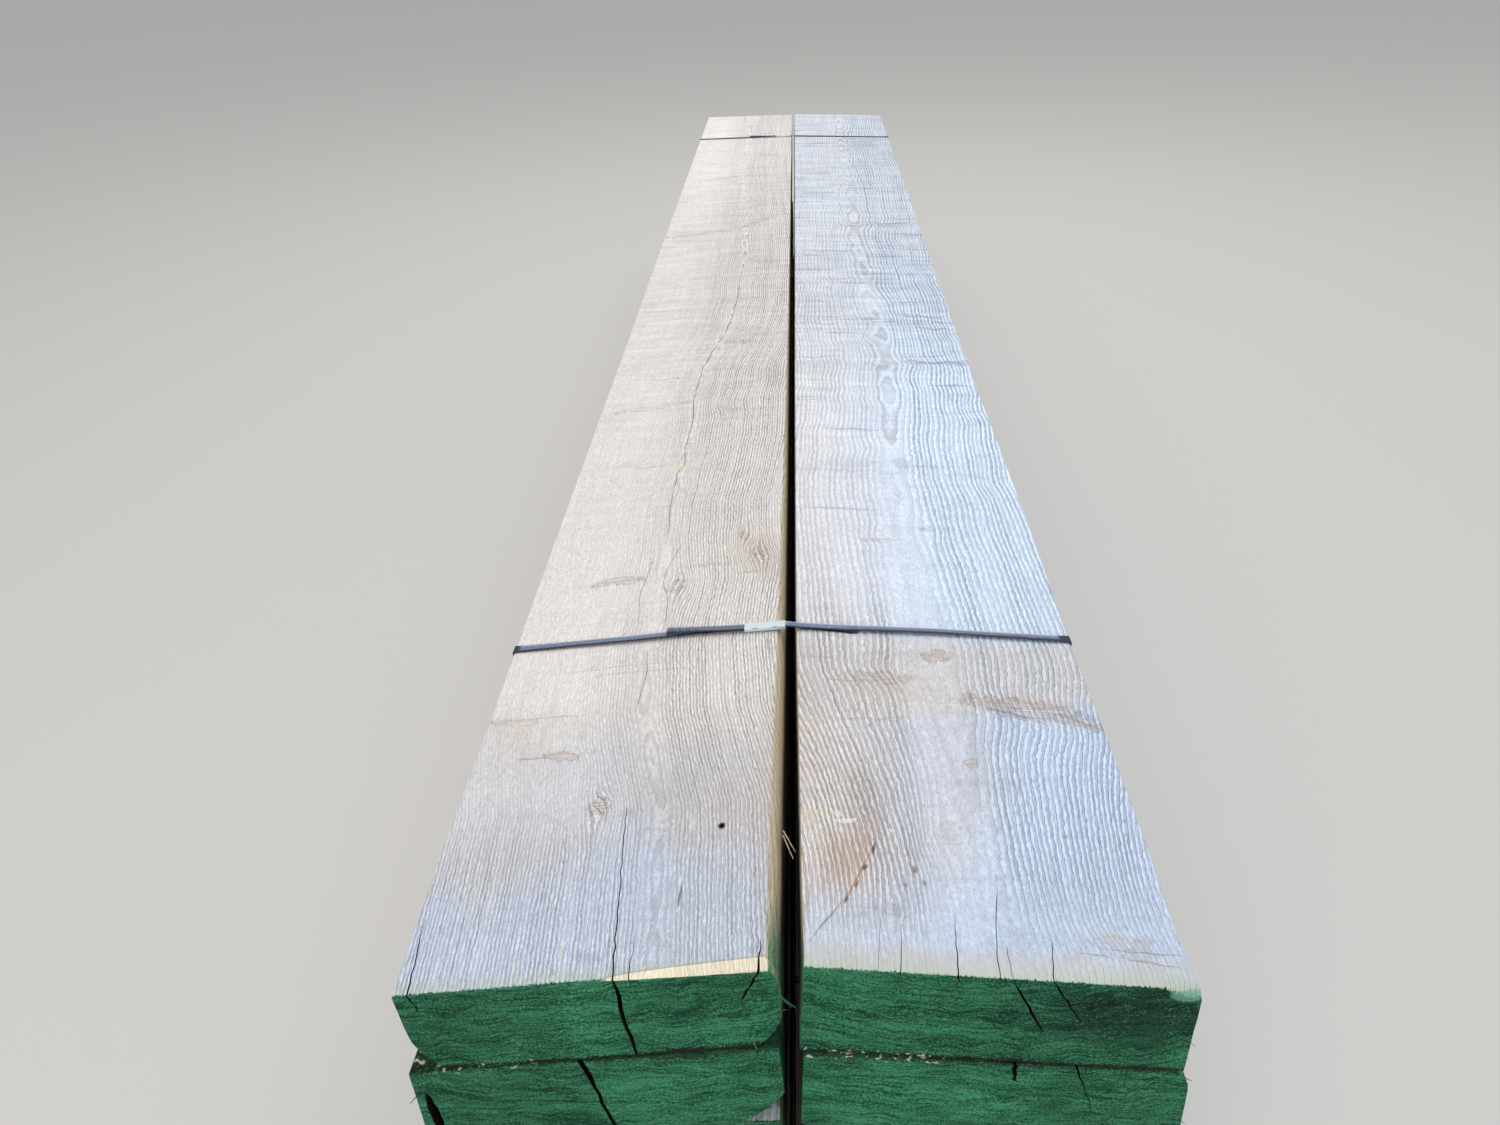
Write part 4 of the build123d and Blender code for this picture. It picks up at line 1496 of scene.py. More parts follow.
def wood_grain(tree, shift):
    """The wood's patterns, as noise from 0 to 1."""
    return SimpleNamespace(
        wool=tree.noise((360, 130, 360), 2, 0.65, shift),
        streak=tree.noise((200, 9, 200), 2, 0.55, shift),
        mottle=tree.noise((70, 30, 70), 3, 0.65, shift),
        patch=tree.noise((15, 6, 15), 2, 0.5, shift),
        saw=tree.noise((7, 300, 7), 2, 0.5, shift),
        cloud=tree.noise((9, 4, 9), 3, 0.55, (shift[1], shift[0], 0)),
        grit=tree.noise((1000, 520, 1000), 2, 0.7, shift),
        ripple=tree.noise((7, 55, 7), 3, 0.6, shift),
    )


def ring_colours(tree, left, finish, x, y, cloud):
    """The bare wood's colour, the late wood's colour, and how dark the late wood is."""
    if left:
        colour = bare_colour_left(tree, finish, x, y, cloud)
        depth = tree.most(tree.fade(y, -1.60, -1.72), tree.fade(x, -0.24, -0.11))
        depth = tree.line(depth, 0.72, 0.28)
        return colour, finish.late_left, tree.times(depth, finish.ring_contrast_left)
    colour = bare_colour_right(tree, finish, x, y, cloud)
    line = tree.mix(tree.fade(x, 0.165, 0.205), finish.late_inner, finish.late_outer)
    smooth = tree.times(tree.fade(x, 0.10, 0.13), tree.fade(x, 0.20, 0.16))
    smooth = tree.times(smooth, tree.fade(y, -1.3, -0.9, -0.65, -0.15))
    calm = tree.times(tree.fade(x, 0.16, 0.10), tree.fade(y, -1.42, -1.25, 0.0, -0.45))
    depth = tree.times(tree.add(1.0, smooth, calm), finish.ring_contrast_right)
    return colour, line, tree.times(depth, tree.fade(y, -1.81, -1.70, 0.3, 1.0))


def wood_light(tree, left, y, grain, off_heart, far_away):
    """How light the wood is: slow changes along the board, among them painted light that brightens
    it towards the far end, the fuzz of its sawn face with a few painted glints, and painted light
    and shade on the saw's waves.
    """
    # Painted light: the wood grows brighter towards the far end
    slow = tree.fade(y, 0.1, 1.5, 1.09, 1.21) if left else tree.fade(y, -1.5, -0.9, 1.07, 1.18)
    light = tree.add(
        slow,
        0.0 if left else tree.fade(y, -0.75, -0.1, 0.0, -0.14),
        tree.times(tree.add(off_heart, -1.0), 0.22),
        tree.swing(grain.wool, 0.34),
        tree.swing(grain.grit, 0.36),
        tree.swing(grain.streak, 0.07),
        tree.swing(grain.mottle, 0.13),
        tree.swing(grain.patch, 0.07),
        # Painted light and shade on the saw's waves, far from the end
        tree.times(tree.swing(grain.ripple, 0.24 if left else 0.36), far_away),
    )
    # The grit's light crests are partly painted glints of dried fibres
    for pattern, deep, dark in ((grain.wool, 0.22, -0.14), (grain.grit, 0.20, -0.16)):
        crests = tree.fade(pattern, 0.66, 0.80, 0, 0.12)
        light = tree.add(light, crests, tree.fade(pattern, 0.34, deep, 0, dark))
    return light


def wood(column, layer, finish):
    """Weathered rough-sawn wood with growth rings, knots and a painted near end, for one board.

    Places along and across, in metres, are those where the stack's own colours and the painted
    light and shade on it change.
    """
    left = column is LEFT
    material, tree = new_finish(f"sawn_wood_{column.name}_{layer + 1}")
    seed = column.side * 3.3 + layer * 1.7
    shift = (seed, seed * 2.1, seed * 0.7)
    x, y, z = tree.axes(tree.place)
    inward, from_end, below = tree.axes(tree.attribute("board_place"))
    straight = tree.vector("ADD", tree.place, tree.attribute("grain_bend"))
    jag = tree.noise((260, 95, 260), 2, 0.6, shift)
    if left:
        spacing, density = finish.ring_width_left, tree.fade(y, -1.35, -0.45, 1.0, 0.85)
    else:
        spacing, density = finish.ring_width_right, tree.fade(y, -1.75, -1.40, 1.0, 0.66)
    jitter = tree.swing(jag, 0.5 if left else 0.4)
    late, count = ring_lines(tree, straight, spacing, jitter, density)
    from_heart = tree.math("ABSOLUTE", tree.axes(straight)[0])
    off_heart = tree.fade(from_heart, 0.010, 0.030, 0.6 if left else 0.7, 1.0)

    grain = wood_grain(tree, shift)
    wool, streak, mottle = grain.wool, grain.streak, grain.mottle
    year = tree.noise_at(tree.combine(tree.times(count, 0.7), tree.times(y, 2.5), shift[0]), 1, 0.5)
    ragged = tree.add(tree.swing(mottle, 0.45), tree.swing(wool, 0.25))
    on_top = tree.fade(below, 0.006, 0.002)

    colour, line, depth = ring_colours(tree, left, finish, x, y, grain.cloud)
    depth = tree.times(tree.times(depth, off_heart), tree.fade(y, -1.3, -0.6, 1.0, 1.15))
    depth = tree.times(depth, tree.add(0.45, tree.times(mottle, 1.1)))
    rung = tree.times(late, tree.fade(wool, 0.34, 0.58, 0.25 if left else 0.45, 1.05))
    rung = tree.times(rung, tree.fade(year, 0.34, 0.62, 0.45, 1.25))
    colour = tree.lay_over(colour, line, rung, depth)
    far_away = tree.fade(y, -1.25, -0.3, 0.25, 1.0)
    light = wood_light(tree, left, y, grain, off_heart, far_away)
    # Painted shade in the troughs of the saw's waves, far from the end
    ripple_shade = tree.times(tree.fade(grain.ripple, 0.38, 0.30), far_away)
    ripple_shade_colour = finish.tan if left else finish.late_outer
    colour = tree.lay_over(colour, ripple_shade_colour, ripple_shade, 0.25 if left else 0.4)
    colour = tree.shade(colour, light)
    wander = tree.times(tree.swing(tree.noise((26, 8, 26), 2, 0.6, shift), 0.024), far_away)
    tree.bent = tree.vector("ADD", tree.place, tree.combine(0.0, wander, 0.0))
    colour = draw_marks(tree, colour, column, layer, finish, ragged)
    broken = tree.fade(streak, 0.35, 0.6, 0.35, 1.0)
    colour = draw_knots(tree, colour, column, layer, finish, ragged, broken)

    # The gap's sides, fresh above and darkened below with painted shade where the gap lies in
    # shade, away from the weathered top
    gap_side = tree.times(tree.fade(inward, 0.024, 0.014), tree.fade(below, 0.001, 0.0025))
    amber = tree.mix(tree.fade(below, 0.022, 0.05), finish.amber, finish.gap_painted_shade)
    amber = tree.shade(amber, tree.add(0.72, tree.times(streak, 0.3), tree.times(mottle, 0.26)))
    colour = tree.lay_over(colour, amber, gap_side, 0.93)

    # Bare end grain at the far end
    far = tree.less(BOARD_LENGTH, from_end)
    far_end = tree.fade(far, 0.0035 + abs(error(column.far_offsets, layer)), 0.0015)
    colour = tree.lay_over(colour, finish.end_grain, far_end, 0.75)

    # Paint on the near end, a thin haze of it on the faces beside
    hair = tree.noise((600, 200, 600), 2, 0.6, shift)
    ledge = 0.03 if layer == TOP - 1 else 0.0
    border = tree.add(0.0016 + ledge, tree.fade(hair, 0.40, 0.72, 0, 0.002))
    paint = tree.fade(tree.less(from_end, border), 0.0006, -0.0004)
    haze_reach = tree.add(0.004, tree.times(mottle, 0.016))
    haze = tree.times(tree.fade(tree.less(from_end, haze_reach), 0.004, -0.006), 0.42)
    beige_reach = tree.add(from_end, tree.swing(grain.cloud, 0.016), tree.swing(mottle, 0.012))
    beige = tree.fade(beige_reach, 0.036, 0.014, 0, 0.0 if left else 0.6)
    colour = tree.mix(beige, colour, finish.beige)
    colour = tree.mix(haze, colour, finish.paint_haze)
    if left and layer == TOP:
        colour, bare = splinter_face(tree, colour, finish, inward, from_end, below, streak)
        paint = tree.times(paint, tree.less(1.0, bare))
    side_spray = tree.times(
        tree.fade(tree.add(from_end, tree.swing(mottle, 0.05)), 0.085, 0.02),
        tree.times(tree.fade(below, 0.003, 0.006), tree.add(0.55, tree.times(wool, 0.6))),
    )
    cover = tree.most(paint, tree.times(side_spray, 0.95))
    painted, relief = end_paint(tree, column, layer, finish, x, z, below, shift)
    colour = tree.mix(cover, colour, painted)
    tree.finish("Base Color", colour)

    # Relief: proud latewood, fibres and saw marks
    ridge = 0.9 if left else 1.7
    height = tree.add(
        tree.times(tree.times(late, depth), 1.3 * ridge),
        tree.times(wool, 0.9),
        tree.times(grain.grit, 0.5),
        tree.times(streak, 0.35),
        tree.times(grain.ripple, 1.6),
        tree.times(tree.times(grain.saw, on_top), 0.35),
    )
    height = tree.times(height, tree.less(1.0, paint))
    height = tree.add(height, tree.times(relief, paint))
    tree.finish("Normal", tree.bump(height, 0.0014))
    tree.finish("Roughness", tree.add(0.80, tree.times(paint, -0.16), tree.times(wool, 0.1)))
    tree.shader.inputs["Specular IOR Level"].default_value = 0.12
    return material


def split_shade_material(finish):
    """Painted shade: a near-black inside for splits, cracks and holes, one for all boards."""
    material = bpy.data.materials.get("painted_split_shade")
    if material is None:
        material, tree = new_finish("painted_split_shade")
        streaks = tree.noise((300, 60, 300), 2, 0.6)
        tree.finish("Base Color", tree.shade(finish.split, tree.add(0.5, streaks)))
        tree.finish("Roughness", tree.add(0.85, tree.times(streaks, 0.1)))
        tree.finish("Normal", tree.bump(streaks, 0.0005))
        tree.shader.inputs["Specular IOR Level"].default_value = 0.1
    return material


def splinter_face(tree, colour, finish, inward, from_end, below, streak):
    """Fresh wood where the splinter broke off: the colour with it, and where no paint is left."""
    chip = CHIPS["left", 0][0]
    start, end = (BOARD_WIDTH / 2 + out * MM for out in chip.outs)
    share = tree.fade(inward, start, end, 1.0, SPLINTER_THIN, straight=True)
    share = tree.math("POWER", share, SPLINTER_POWER)
    past = tree.less(from_end, tree.times(share, max(chip.reaches) * MM))
    under = tree.less(below, tree.times(share, max(chip.falls) * MM))
    along = tree.times(tree.fade(inward, 0.143, 0.134), tree.fade(inward, -0.002, 0.0))
    outline = tree.times(tree.fade(past, 0.0026, 0.0009), along)
    fresh = tree.times(tree.fade(past, 0.0009, -0.0003), along)
    colour = tree.lay_over(colour, finish.brown, outline, 0.55)
    streaked = tree.shade(finish.fresh, tree.add(0.86, tree.times(streak, 0.28)))
    colour = tree.mix(fresh, colour, streaked)
    return colour, tree.times(fresh, tree.fade(under, 0.0006, -0.0002))


def end_paint(tree, column, layer, finish, x, z, below, shift):
    """Brushed end paint over saw marks: its colour, with painted shade in its grooves and a painted
    shadow along the joint under the board above, and its relief.
    """
    rng = random.Random(column.side * 7 + layer)
    guess = (column.side * rng.uniform(0.0, 0.5), rng.uniform(1.2, 2.6))
    centre_x, centre_z = SAW_CENTRES.get((column.name, from_top(layer)), guess)
    from_centre = [tree.less(x, centre_x), 0.0, tree.less(z, centre_z)]
    radial = tree.vector("LENGTH", tree.combine(*from_centre))
    waver = tree.noise((30, 30, 30), 2, 0.5, shift)
    radial = tree.add(radial, tree.swing(waver, 0.012))
    swept = tree.combine(tree.times(radial, 420), tree.times(x, 30), shift[0])
    sweep = tree.noise_at(swept, 3, 0.65)
    broad = tree.noise_at(tree.combine(tree.times(radial, 60), tree.times(x, 9), shift[1]), 2, 0.5)
    stipple = tree.noise((560, 560, 560), 3, 0.75, shift)
    tone = (tree.times(sweep, 0.62), tree.times(broad, 0.30), tree.times(stipple, 0.90), -0.41)
    tone = tree.fade(tree.add(*tone), 0.34, 0.66)
    colour = tree.mix(tone, finish.paint_dark, finish.paint_light)
    level = 1.0
    for blot in BLOTS.get((column.name, from_top(layer)), ()):
        away = tree.spot_on_end(*(size * MM for size in blot[:4]))
        away = tree.add(away, tree.swing(waver, 0.4))
        level = tree.times(tree.fade(away, 1.35, 0.5, 1.0, blot.tone), level)
    colour = tree.shade(colour, level)
    worn = tree.times(tree.fade(stipple, 0.55, 0.68), tree.fade(sweep, 0.40, 0.62))
    colour = tree.lay_over(colour, finish.paint_worn, worn, 0.75)
    # Painted shade: darker green in the low places of the brushed relief, the saw's grooves
    grooves = tree.most(tree.fade(sweep, 0.40, 0.28), tree.fade(stipple, 0.40, 0.28))
    colour = tree.lay_over(colour, finish.paint_groove_shade, grooves, 0.7)
    # Painted shadow along the joint between the top two boards, in the splits' near-black, with
    # pale crumbs of wood along it
    if layer >= TOP - 1:
        taper = slope(column, layer + 1, NEAR_END) - slope(column, layer, NEAR_END)
        foot = thickness(column, layer) + taper * COLUMN_GAP / 2
        foot = tree.less(tree.line(x, -taper * column.side, foot), below)
        wider = tree.fade(x, -0.16, -0.08, 0.0, -0.0030) if column is LEFT else -0.001
        edge = foot if layer == TOP else below
        joint = tree.add(edge, tree.swing(stipple, 0.008), tree.swing(waver, 0.004), wider)
        shadow = tree.fade(joint, 0.0040, 0.0016, 0.0, 0.9 if layer == TOP else 0.6)
        colour = tree.mix(shadow, colour, finish.split)
        crumbs = tree.fade(tree.noise((150, 150, 190), 1, 0.5, shift), 0.62, 0.67)
        crumbs = tree.times(crumbs, tree.fade(joint, 0.006, 0.004))
        outer = tree.fade(x, -0.20, -0.24) if column is LEFT else tree.fade(x, 0.15, 0.11)
        crumbs = tree.times(crumbs, outer)
        colour = tree.lay_over(colour, finish.fresh, crumbs, 0.75)
    if column is RIGHT and layer == TOP:
        away = tree.spot_on_end(0.306, 0.589, 0.013, 0.0085)
        corner = tree.fade(tree.add(away, tree.swing(stipple, 0.5)), 1.15, 0.85)
        colour = tree.lay_over(colour, finish.paint_chipped, corner, 0.9)
    relief = tree.add(tree.times(sweep, 1.6), tree.times(stipple, 2.2), tree.times(broad, 0.5))
    return colour, relief


def strap_steel(finish):
    """Painted slate-blue strapping with scuffs, a painted highlight along its far edge, painted
    shadow under its lifted near edge, painted shade at its bends, a darker tail and the tensioner's
    bites.
    """
    material, tree = new_finish("strapping_steel")
    scuff = tree.noise((400, 400, 400), 3, 0.6)
    wear = tree.noise((30, 30, 30), 3, 0.6)
    along, lateral, tail = tree.axes(tree.attribute("strap_place"))
    ragged = tree.add(lateral, tree.swing(scuff, 0.0012))
    colour = tree.mix(tree.fade(scuff, 0.52, 0.7), finish.strap, finish.strap_worn)
    # Painted highlight along the strap's far edge
    colour = tree.mix(tree.fade(ragged, 0.0030, 0.0052, 0.0, 0.75), colour, finish.strap_edge_highlight)
    colour = tree.lay_over(colour, finish.strap_tail, tail, 0.55)
    colour = tree.shade(colour, tree.add(0.75, tree.times(wear, 0.5)))
    # Painted shadow under the lifted near edge, a little wider on the right run, and painted shade
    # where the strap bends over the outer arrises; the tensioner's bites are marks in the tail
    low = tree.add(ragged, tree.fade(along, 0.02, 0.12, 0.0, -0.0013))
    dark = tree.most(
        tree.fade(low, -0.0030, -0.0044),
        tree.fade(along, 0.303, 0.309),
        tree.fade(along, -0.309, -0.313),
    )
    for x in STRAP_BITES:
        slant = tree.line(lateral, 1.1, tree.less(along, x * MM))
        bite = tree.fade(tree.math("ABSOLUTE", slant), 0.0022, 0.0012)
        bite = tree.times(bite, tree.fade(lateral, 0.0012, -0.0006))
        dark = tree.most(dark, tree.times(bite, tail))
    colour = tree.lay_over(colour, finish.strap_shade_and_bites, dark, 0.92)
    tree.finish("Base Color", colour)
    tree.finish("Roughness", tree.add(0.28, tree.times(scuff, 0.25)))
    tree.shader.inputs["Metallic"].default_value = 0.35
    tree.finish("Normal", tree.bump(tree.less(scuff, tree.times(dark, 2)), 0.0002))
    return material


def seal_steel(finish):
    """Bright zinc with fine scratches, its light bluish colour partly a painted reflection of the
    sky.
    """
    material, tree = new_finish("zinc_seal")
    grainy = tree.noise((900, 900, 900), 3, 0.6)
    scratch = tree.noise((90, 1400, 900), 2, 0.5)
    colour = tree.mix(grainy, finish.seal, finish.seal_shade)
    tree.finish("Base Color", colour)
    tree.finish("Roughness", tree.add(0.26, tree.times(scratch, 0.25)))
    tree.shader.inputs["Metallic"].default_value = 0.6
    tree.finish("Normal", tree.bump(scratch, 0.00015))
    return material


def bisect(block, place, normal):
    """Add a line of edges where a plane meets a block."""
    everything = block.verts[:] + block.edges[:] + block.faces[:]
    bmesh.ops.bisect_plane(block, geom=everything, dist=1e-7, plane_co=place, plane_no=normal)


def tail_share(places, y):
    """How far each place of a strap belongs to the loose tail: 1 on it, 0 elsewhere."""
    x, _, z = places.T
    board_top = surface(LEFT, TOP, np.abs(x), y)[1]
    lapped = (x > TAIL_ENDS[0]) & (x < TAIL_ENDS[1]) & (z > TAIL_LOWEST)
    rise = z - board_top
    middle = np.median(rise[lapped & (x < -0.06)])
    return np.where(lapped & (rise > middle), 1.0, 0.0)


def tongue_centre(x, y):
    """Place along Y of the lower end's middle, which drifts towards the near end."""
    return y - TONGUE_DRIFT * np.clip((x - TONGUE_START) / TONGUE_LENGTH, 0, 1) ** 1.5


def tongue(y):
    """The strap's lower end, which comes out beside the seal on the right board."""
    stations = []
    for share in np.linspace(0, 1, 9):
        x = TONGUE_START + TONGUE_LENGTH * share
        centre = tongue_centre(x, y)
        half = TONGUE_HALF_WIDTH * (1 if share < 1 else 0.6)
        floor = surface(RIGHT, TOP, x, y)[1] + 0.1 * MM

        def sides(up, x=x, centre=centre, half=half, floor=floor):
            z = floor + up * STRAP_THICKNESS
            return [(x, centre - half, z), (x, centre + half, z)]

        stations.append(sides)
    return strip(stations, 2)


def lie_down(places, lie, y, lateral, tail):
    """Move the places of straight strapping to where it lies: out of line, rolled and bent."""
    across = places[:, 0] / MM
    roll = np.radians(np.interp(across, lie.places, lie.rolls))
    on_top = share_between(places[:, 2], 565, 580)
    places[:, 2] += on_top * np.tan(roll) * (STRAP_WIDTH / 2 - lateral)
    places[:, 1] += np.interp(across, lie.places, lie.shifts) * MM
    loose = tail * share_between(-places[:, 0], 60, 140) ** 1.5
    places[:, 1] += 4 * MM * loose
    places[:, 2] += 2 * MM * loose
    high = share_between(places[:, 2], 488, 538)
    for column in (LEFT, RIGHT):
        beside = share_between(column.side * places[:, 0], 120, 310)
        places[:, 0] -= column.side * outer_trim(column, TOP, np.float64(y)) * beside * high
    return places


def lay_strapping(node, place, material):
    """Lay one solid of a strap as it lies on the stack, with its lower end where it shows."""
    block = bmesh.new()
    block.from_mesh(frame["nodes"][node].data)
    bmesh.ops.remove_doubles(block, verts=block.verts, dist=1e-6)
    for i in range(-31, 32):
        bisect(block, (i * BEND_SPACING, 0, 0), (1, 0, 0))
    for z in BEND_LEVELS:
        bisect(block, (0, 0, z), (0, 0, 1))
    straight = "seal" not in node
    places = np.array([vert.co for vert in block.verts])
    y = STRAP_Y[place] * MM
    lateral = places[:, 1] - y
    tail = tail_share(places, y) if straight else np.zeros(len(places))
    kept = np.stack([places[:, 0], lateral, tail], axis=1)
    for vert, moved in zip(block.verts, lie_down(places, STRAP_LIES[place], y, lateral, tail)):
        vert.co = moved
    mesh = as_mesh(block, f"laid_{node}")
    if straight and place == "near":
        kept = add_tongue(mesh, kept, y)
    write_attribute(mesh, "strap_place", kept)
    mesh.materials.append(material)
    mesh.shade_smooth()
    mesh.set_sharp_from_angle(angle=math.radians(30))
    piece = place_mesh(mesh, f"laid_{node}")
    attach(piece, "root")
    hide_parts(node)


def add_tongue(mesh, kept, y):
    """Join the strap's lower end to its mesh and to what is kept of its vertices."""
    block = bmesh.new()
    block.from_mesh(mesh)
    extra = tongue(y)
    bmesh.ops.recalc_face_normals(extra, faces=extra.faces)
    part = as_mesh(extra, "tongue")
    block.from_mesh(part)
    block.to_mesh(mesh)
    block.free()
    co = np.array([vert.co for vert in part.vertices])
    bpy.data.meshes.remove(part)
    lateral = co[:, 1] - tongue_centre(co[:, 0], y)
    return np.concatenate([kept, np.stack([co[:, 0], lateral, 0 * lateral], axis=1)])


def colour_setting(name, description, default):
    """A colour that the sidebar can change."""
    return bpy.props.FloatVectorProperty(
        name=name, description=description, default=default, subtype="COLOR", size=3, min=0, max=1
    )


def number_setting(name, description, default, **more):
    """A number that the sidebar can change."""
    return bpy.props.FloatProperty(name=name, description=description, default=default, **more)


class WoodFinish(bpy.types.PropertyGroup):
    """Colours and ring sizes of the wood and its paint."""

    ring_width_left: number_setting(
        "Left ring width", "A year's growth in the left boards", 0.0036, min=0.001, unit="LENGTH"
    )
    ring_width_right: number_setting(
        "Right ring width", "A year's growth in the right boards", 0.0044, min=0.001, unit="LENGTH"
    )
    ring_contrast_left: number_setting(
        "Left ring contrast", "How dark the left late wood is", 0.72, min=0, max=1, subtype="FACTOR"
    )
    ring_contrast_right: number_setting(
        "Right ring contrast", "How dark the right's is", 0.62, min=0, max=1, subtype="FACTOR"
    )
    warm_wood: colour_setting("Warm wood", "Left wood away from the end", (0.80, 0.755, 0.725))
    warm_shade: colour_setting("Warm shade", "Left wood near its inner edge", (0.835, 0.792, 0.758))
    dull_wood: colour_setting("Dull wood", "Left wood between end and knots", (0.66, 0.655, 0.675))
    dull_shade: colour_setting("Dull shade", "The same near the inner edge", (0.647, 0.625, 0.631))
    cold_wood: colour_setting("Cold wood", "Weathered left wood at the end", (0.60, 0.665, 0.80))
    cold_shade: colour_setting("Cold shade", "The same near the inner edge", (0.60, 0.655, 0.75))
    late_left: colour_setting("Left late wood", "Dense part of a year's growth", (0.36, 0.33, 0.34))
    grey_inner: colour_setting("Right inner wood", "Right wood near the gap", (0.809, 0.774, 0.758))
    grey_middle: colour_setting("Right middle wood", "Its smooth middle", (0.65, 0.679, 0.761))
    blue_outer: colour_setting("Right outer wood", "Near its outer edge", (0.645, 0.75, 0.925))
    cold_end: colour_setting("Right end wood", "Right wood at the near end", (0.563, 0.645, 0.786))
    far_inner: colour_setting("Far inner wood", "Right wood past the strap", (0.758, 0.762, 0.806))
    far_middle: colour_setting("Far middle wood", "Middle past the strap", (0.702, 0.765, 0.877))
    far_outer: colour_setting("Far outer wood", "Outer part past the strap", (0.715, 0.835, 0.98))
    grey_far: colour_setting("Grey far wood", "Right wood at the far end", (0.775, 0.82, 0.905))
    band_wood: colour_setting("Band", "Right wood just before the strap", (0.70, 0.68, 0.68))
    late_inner: colour_setting("Inner late wood", "Brown lines near the gap", (0.33, 0.27, 0.24))
    late_outer: colour_setting("Outer late wood", "Blue-grey lines outside", (0.30, 0.36, 0.48))
    tan: colour_setting("Tan", "Middle of a knot", (0.70, 0.55, 0.43))
    brown: colour_setting("Brown", "Brown stains", (0.45, 0.33, 0.26))
    bark: colour_setting("Bark", "Dark rim of a knot", (0.20, 0.14, 0.11))
    rust: colour_setting("Rust brown", "Resin stain", (0.55, 0.31, 0.18))
    pitch: colour_setting("Pitch", "Set resin", (0.06, 0.025, 0.018))
    # Grey also paints a soft band of shade across the right board
    grey: colour_setting("Grey stain", "Grey scars", (0.40, 0.40, 0.43))
    chalk: colour_setting("Chalk white", "Fresh or dried splinters", (0.92, 0.90, 0.86))
    cream: colour_setting("Cream", "Fresh wood", (0.86, 0.76, 0.55))
    fresh: colour_setting("Fresh face", "Splintered arris of the left board", (0.95, 0.87, 0.67))
    amber: colour_setting("Amber", "Upper part of the gap's sides", (0.66, 0.56, 0.40))
    # Painted shade: near-black for the lower part of the gap's sides
    gap_painted_shade: colour_setting("Gap", "Lower part of the gap's sides", (0.035, 0.025, 0.02))
    # Painted shade: near-black for the inside of splits and holes, also used for the painted shadow
    # at the near ends' joints
    split: colour_setting("Split", "Inside of splits and holes", (0.018, 0.014, 0.011))
    beige: colour_setting("Beige", "Dry strip at the right end", (0.62, 0.59, 0.53))
    end_grain: colour_setting("End grain", "Bare far ends", (0.38, 0.33, 0.27))
    paint_dark: colour_setting("Dark paint", "Thick end paint", (0.006, 0.062, 0.029))
    paint_light: colour_setting("Light paint", "Thin end paint", (0.062, 0.325, 0.168))
    paint_worn: colour_setting("Worn paint", "Paint rubbed thin", (0.22, 0.48, 0.27))
    # Painted shade in the saw's grooves of the end paint
    paint_groove_shade: colour_setting("Paint in grooves", "In the saw's grooves", (0.004, 0.026, 0.012))
    paint_chipped: colour_setting("Chipped paint", "Pale corner at the right", (0.20, 0.46, 0.36))
    paint_haze: colour_setting("Paint haze", "Breath of paint beside the end", (0.52, 0.62, 0.44))


class MetalFinish(bpy.types.PropertyGroup):
    """Colours of the straps and their seals."""

    strap: colour_setting("Strap", "Painted steel strap", (0.16, 0.21, 0.32))
    strap_worn: colour_setting("Worn strap", "Scuffs on the strap", (0.34, 0.40, 0.52))
    # Painted highlight on the strap's far edge
    strap_edge_highlight: colour_setting("Strap edge", "Light far edge of the strap", (0.52, 0.58, 0.72))
    strap_tail: colour_setting("Strap tail", "Loose end of the strap", (0.11, 0.13, 0.19))
    # Painted shadow under the near edge and painted shade at the bends, and the tensioner's bites
    strap_shade_and_bites: colour_setting("Dark steel", "Near edge, bites and bends", (0.012, 0.014, 0.026))
    # Zinc colour lightened and tinted blue with a painted reflection of the sky
    seal: colour_setting("Seal", "Zinc of the seal", (0.86, 0.94, 0.97))
    seal_shade: colour_setting("Seal shade", "Duller zinc", (0.70, 0.80, 0.85))


class StageSettings(bpy.types.PropertyGroup):
    """Floor, light and camera."""

    floor_size: number_setting("Floor size", "Side of the square floor", 70, min=5, unit="LENGTH")
    floor_colour: colour_setting("Floor", "Colour of the plain floor", (0.66, 0.64, 0.61))
    sky_level: number_setting("Sky level", "Strength of the even light from all sides", 0.6, min=0)
    top_light: number_setting("Top light", "Power of the lamp overhead", 165, min=0, unit="POWER")
    far_light: number_setting("Far light", "Power of the far lamp", 16, min=0, unit="POWER")
    front_light: number_setting("Front light", "Power of the near lamp", 32, min=0, unit="POWER")
    camera_place: bpy.props.FloatVectorProperty(
        name="Camera place",
        description="Where the camera stands",
        default=(0.0174, -2.3887, 1.3274),
        size=3,
        subtype="TRANSLATION",
        unit="LENGTH",
    )
    camera_tilt: number_setting(
        "Camera tilt", "How far the camera looks down", 0.55221, subtype="ANGLE"
    )
    camera_heading: number_setting(
        "Camera heading", "Turn away from the boards' direction", -0.0583, subtype="ANGLE"
    )
    camera_roll: number_setting("Camera roll", "Lean to one side", 0.04587, subtype="ANGLE")
    focal_pixels: number_setting("Focal length", "In pixels of the photograph", 1105, min=100)


def add_boards(column, scene):
    """Make all boards of one column."""
    for layer in range(LAYERS):
        make_board(column, layer, scene.stack_wood)


class STACK_OT_left_boards(bpy.types.Operator):
    """Add the left column of boards"""

    bl_idname = "stack.left_boards"
    bl_label = "Add left boards"

    def execute(self, context):
        add_boards(LEFT, context.scene)
        return {"FINISHED"}


class STACK_OT_right_boards(bpy.types.Operator):
    """Add the right column of boards"""

    bl_idname = "stack.right_boards"
    bl_label = "Add right boards"

    def execute(self, context):
        add_boards(RIGHT, context.scene)
        return {"FINISHED"}


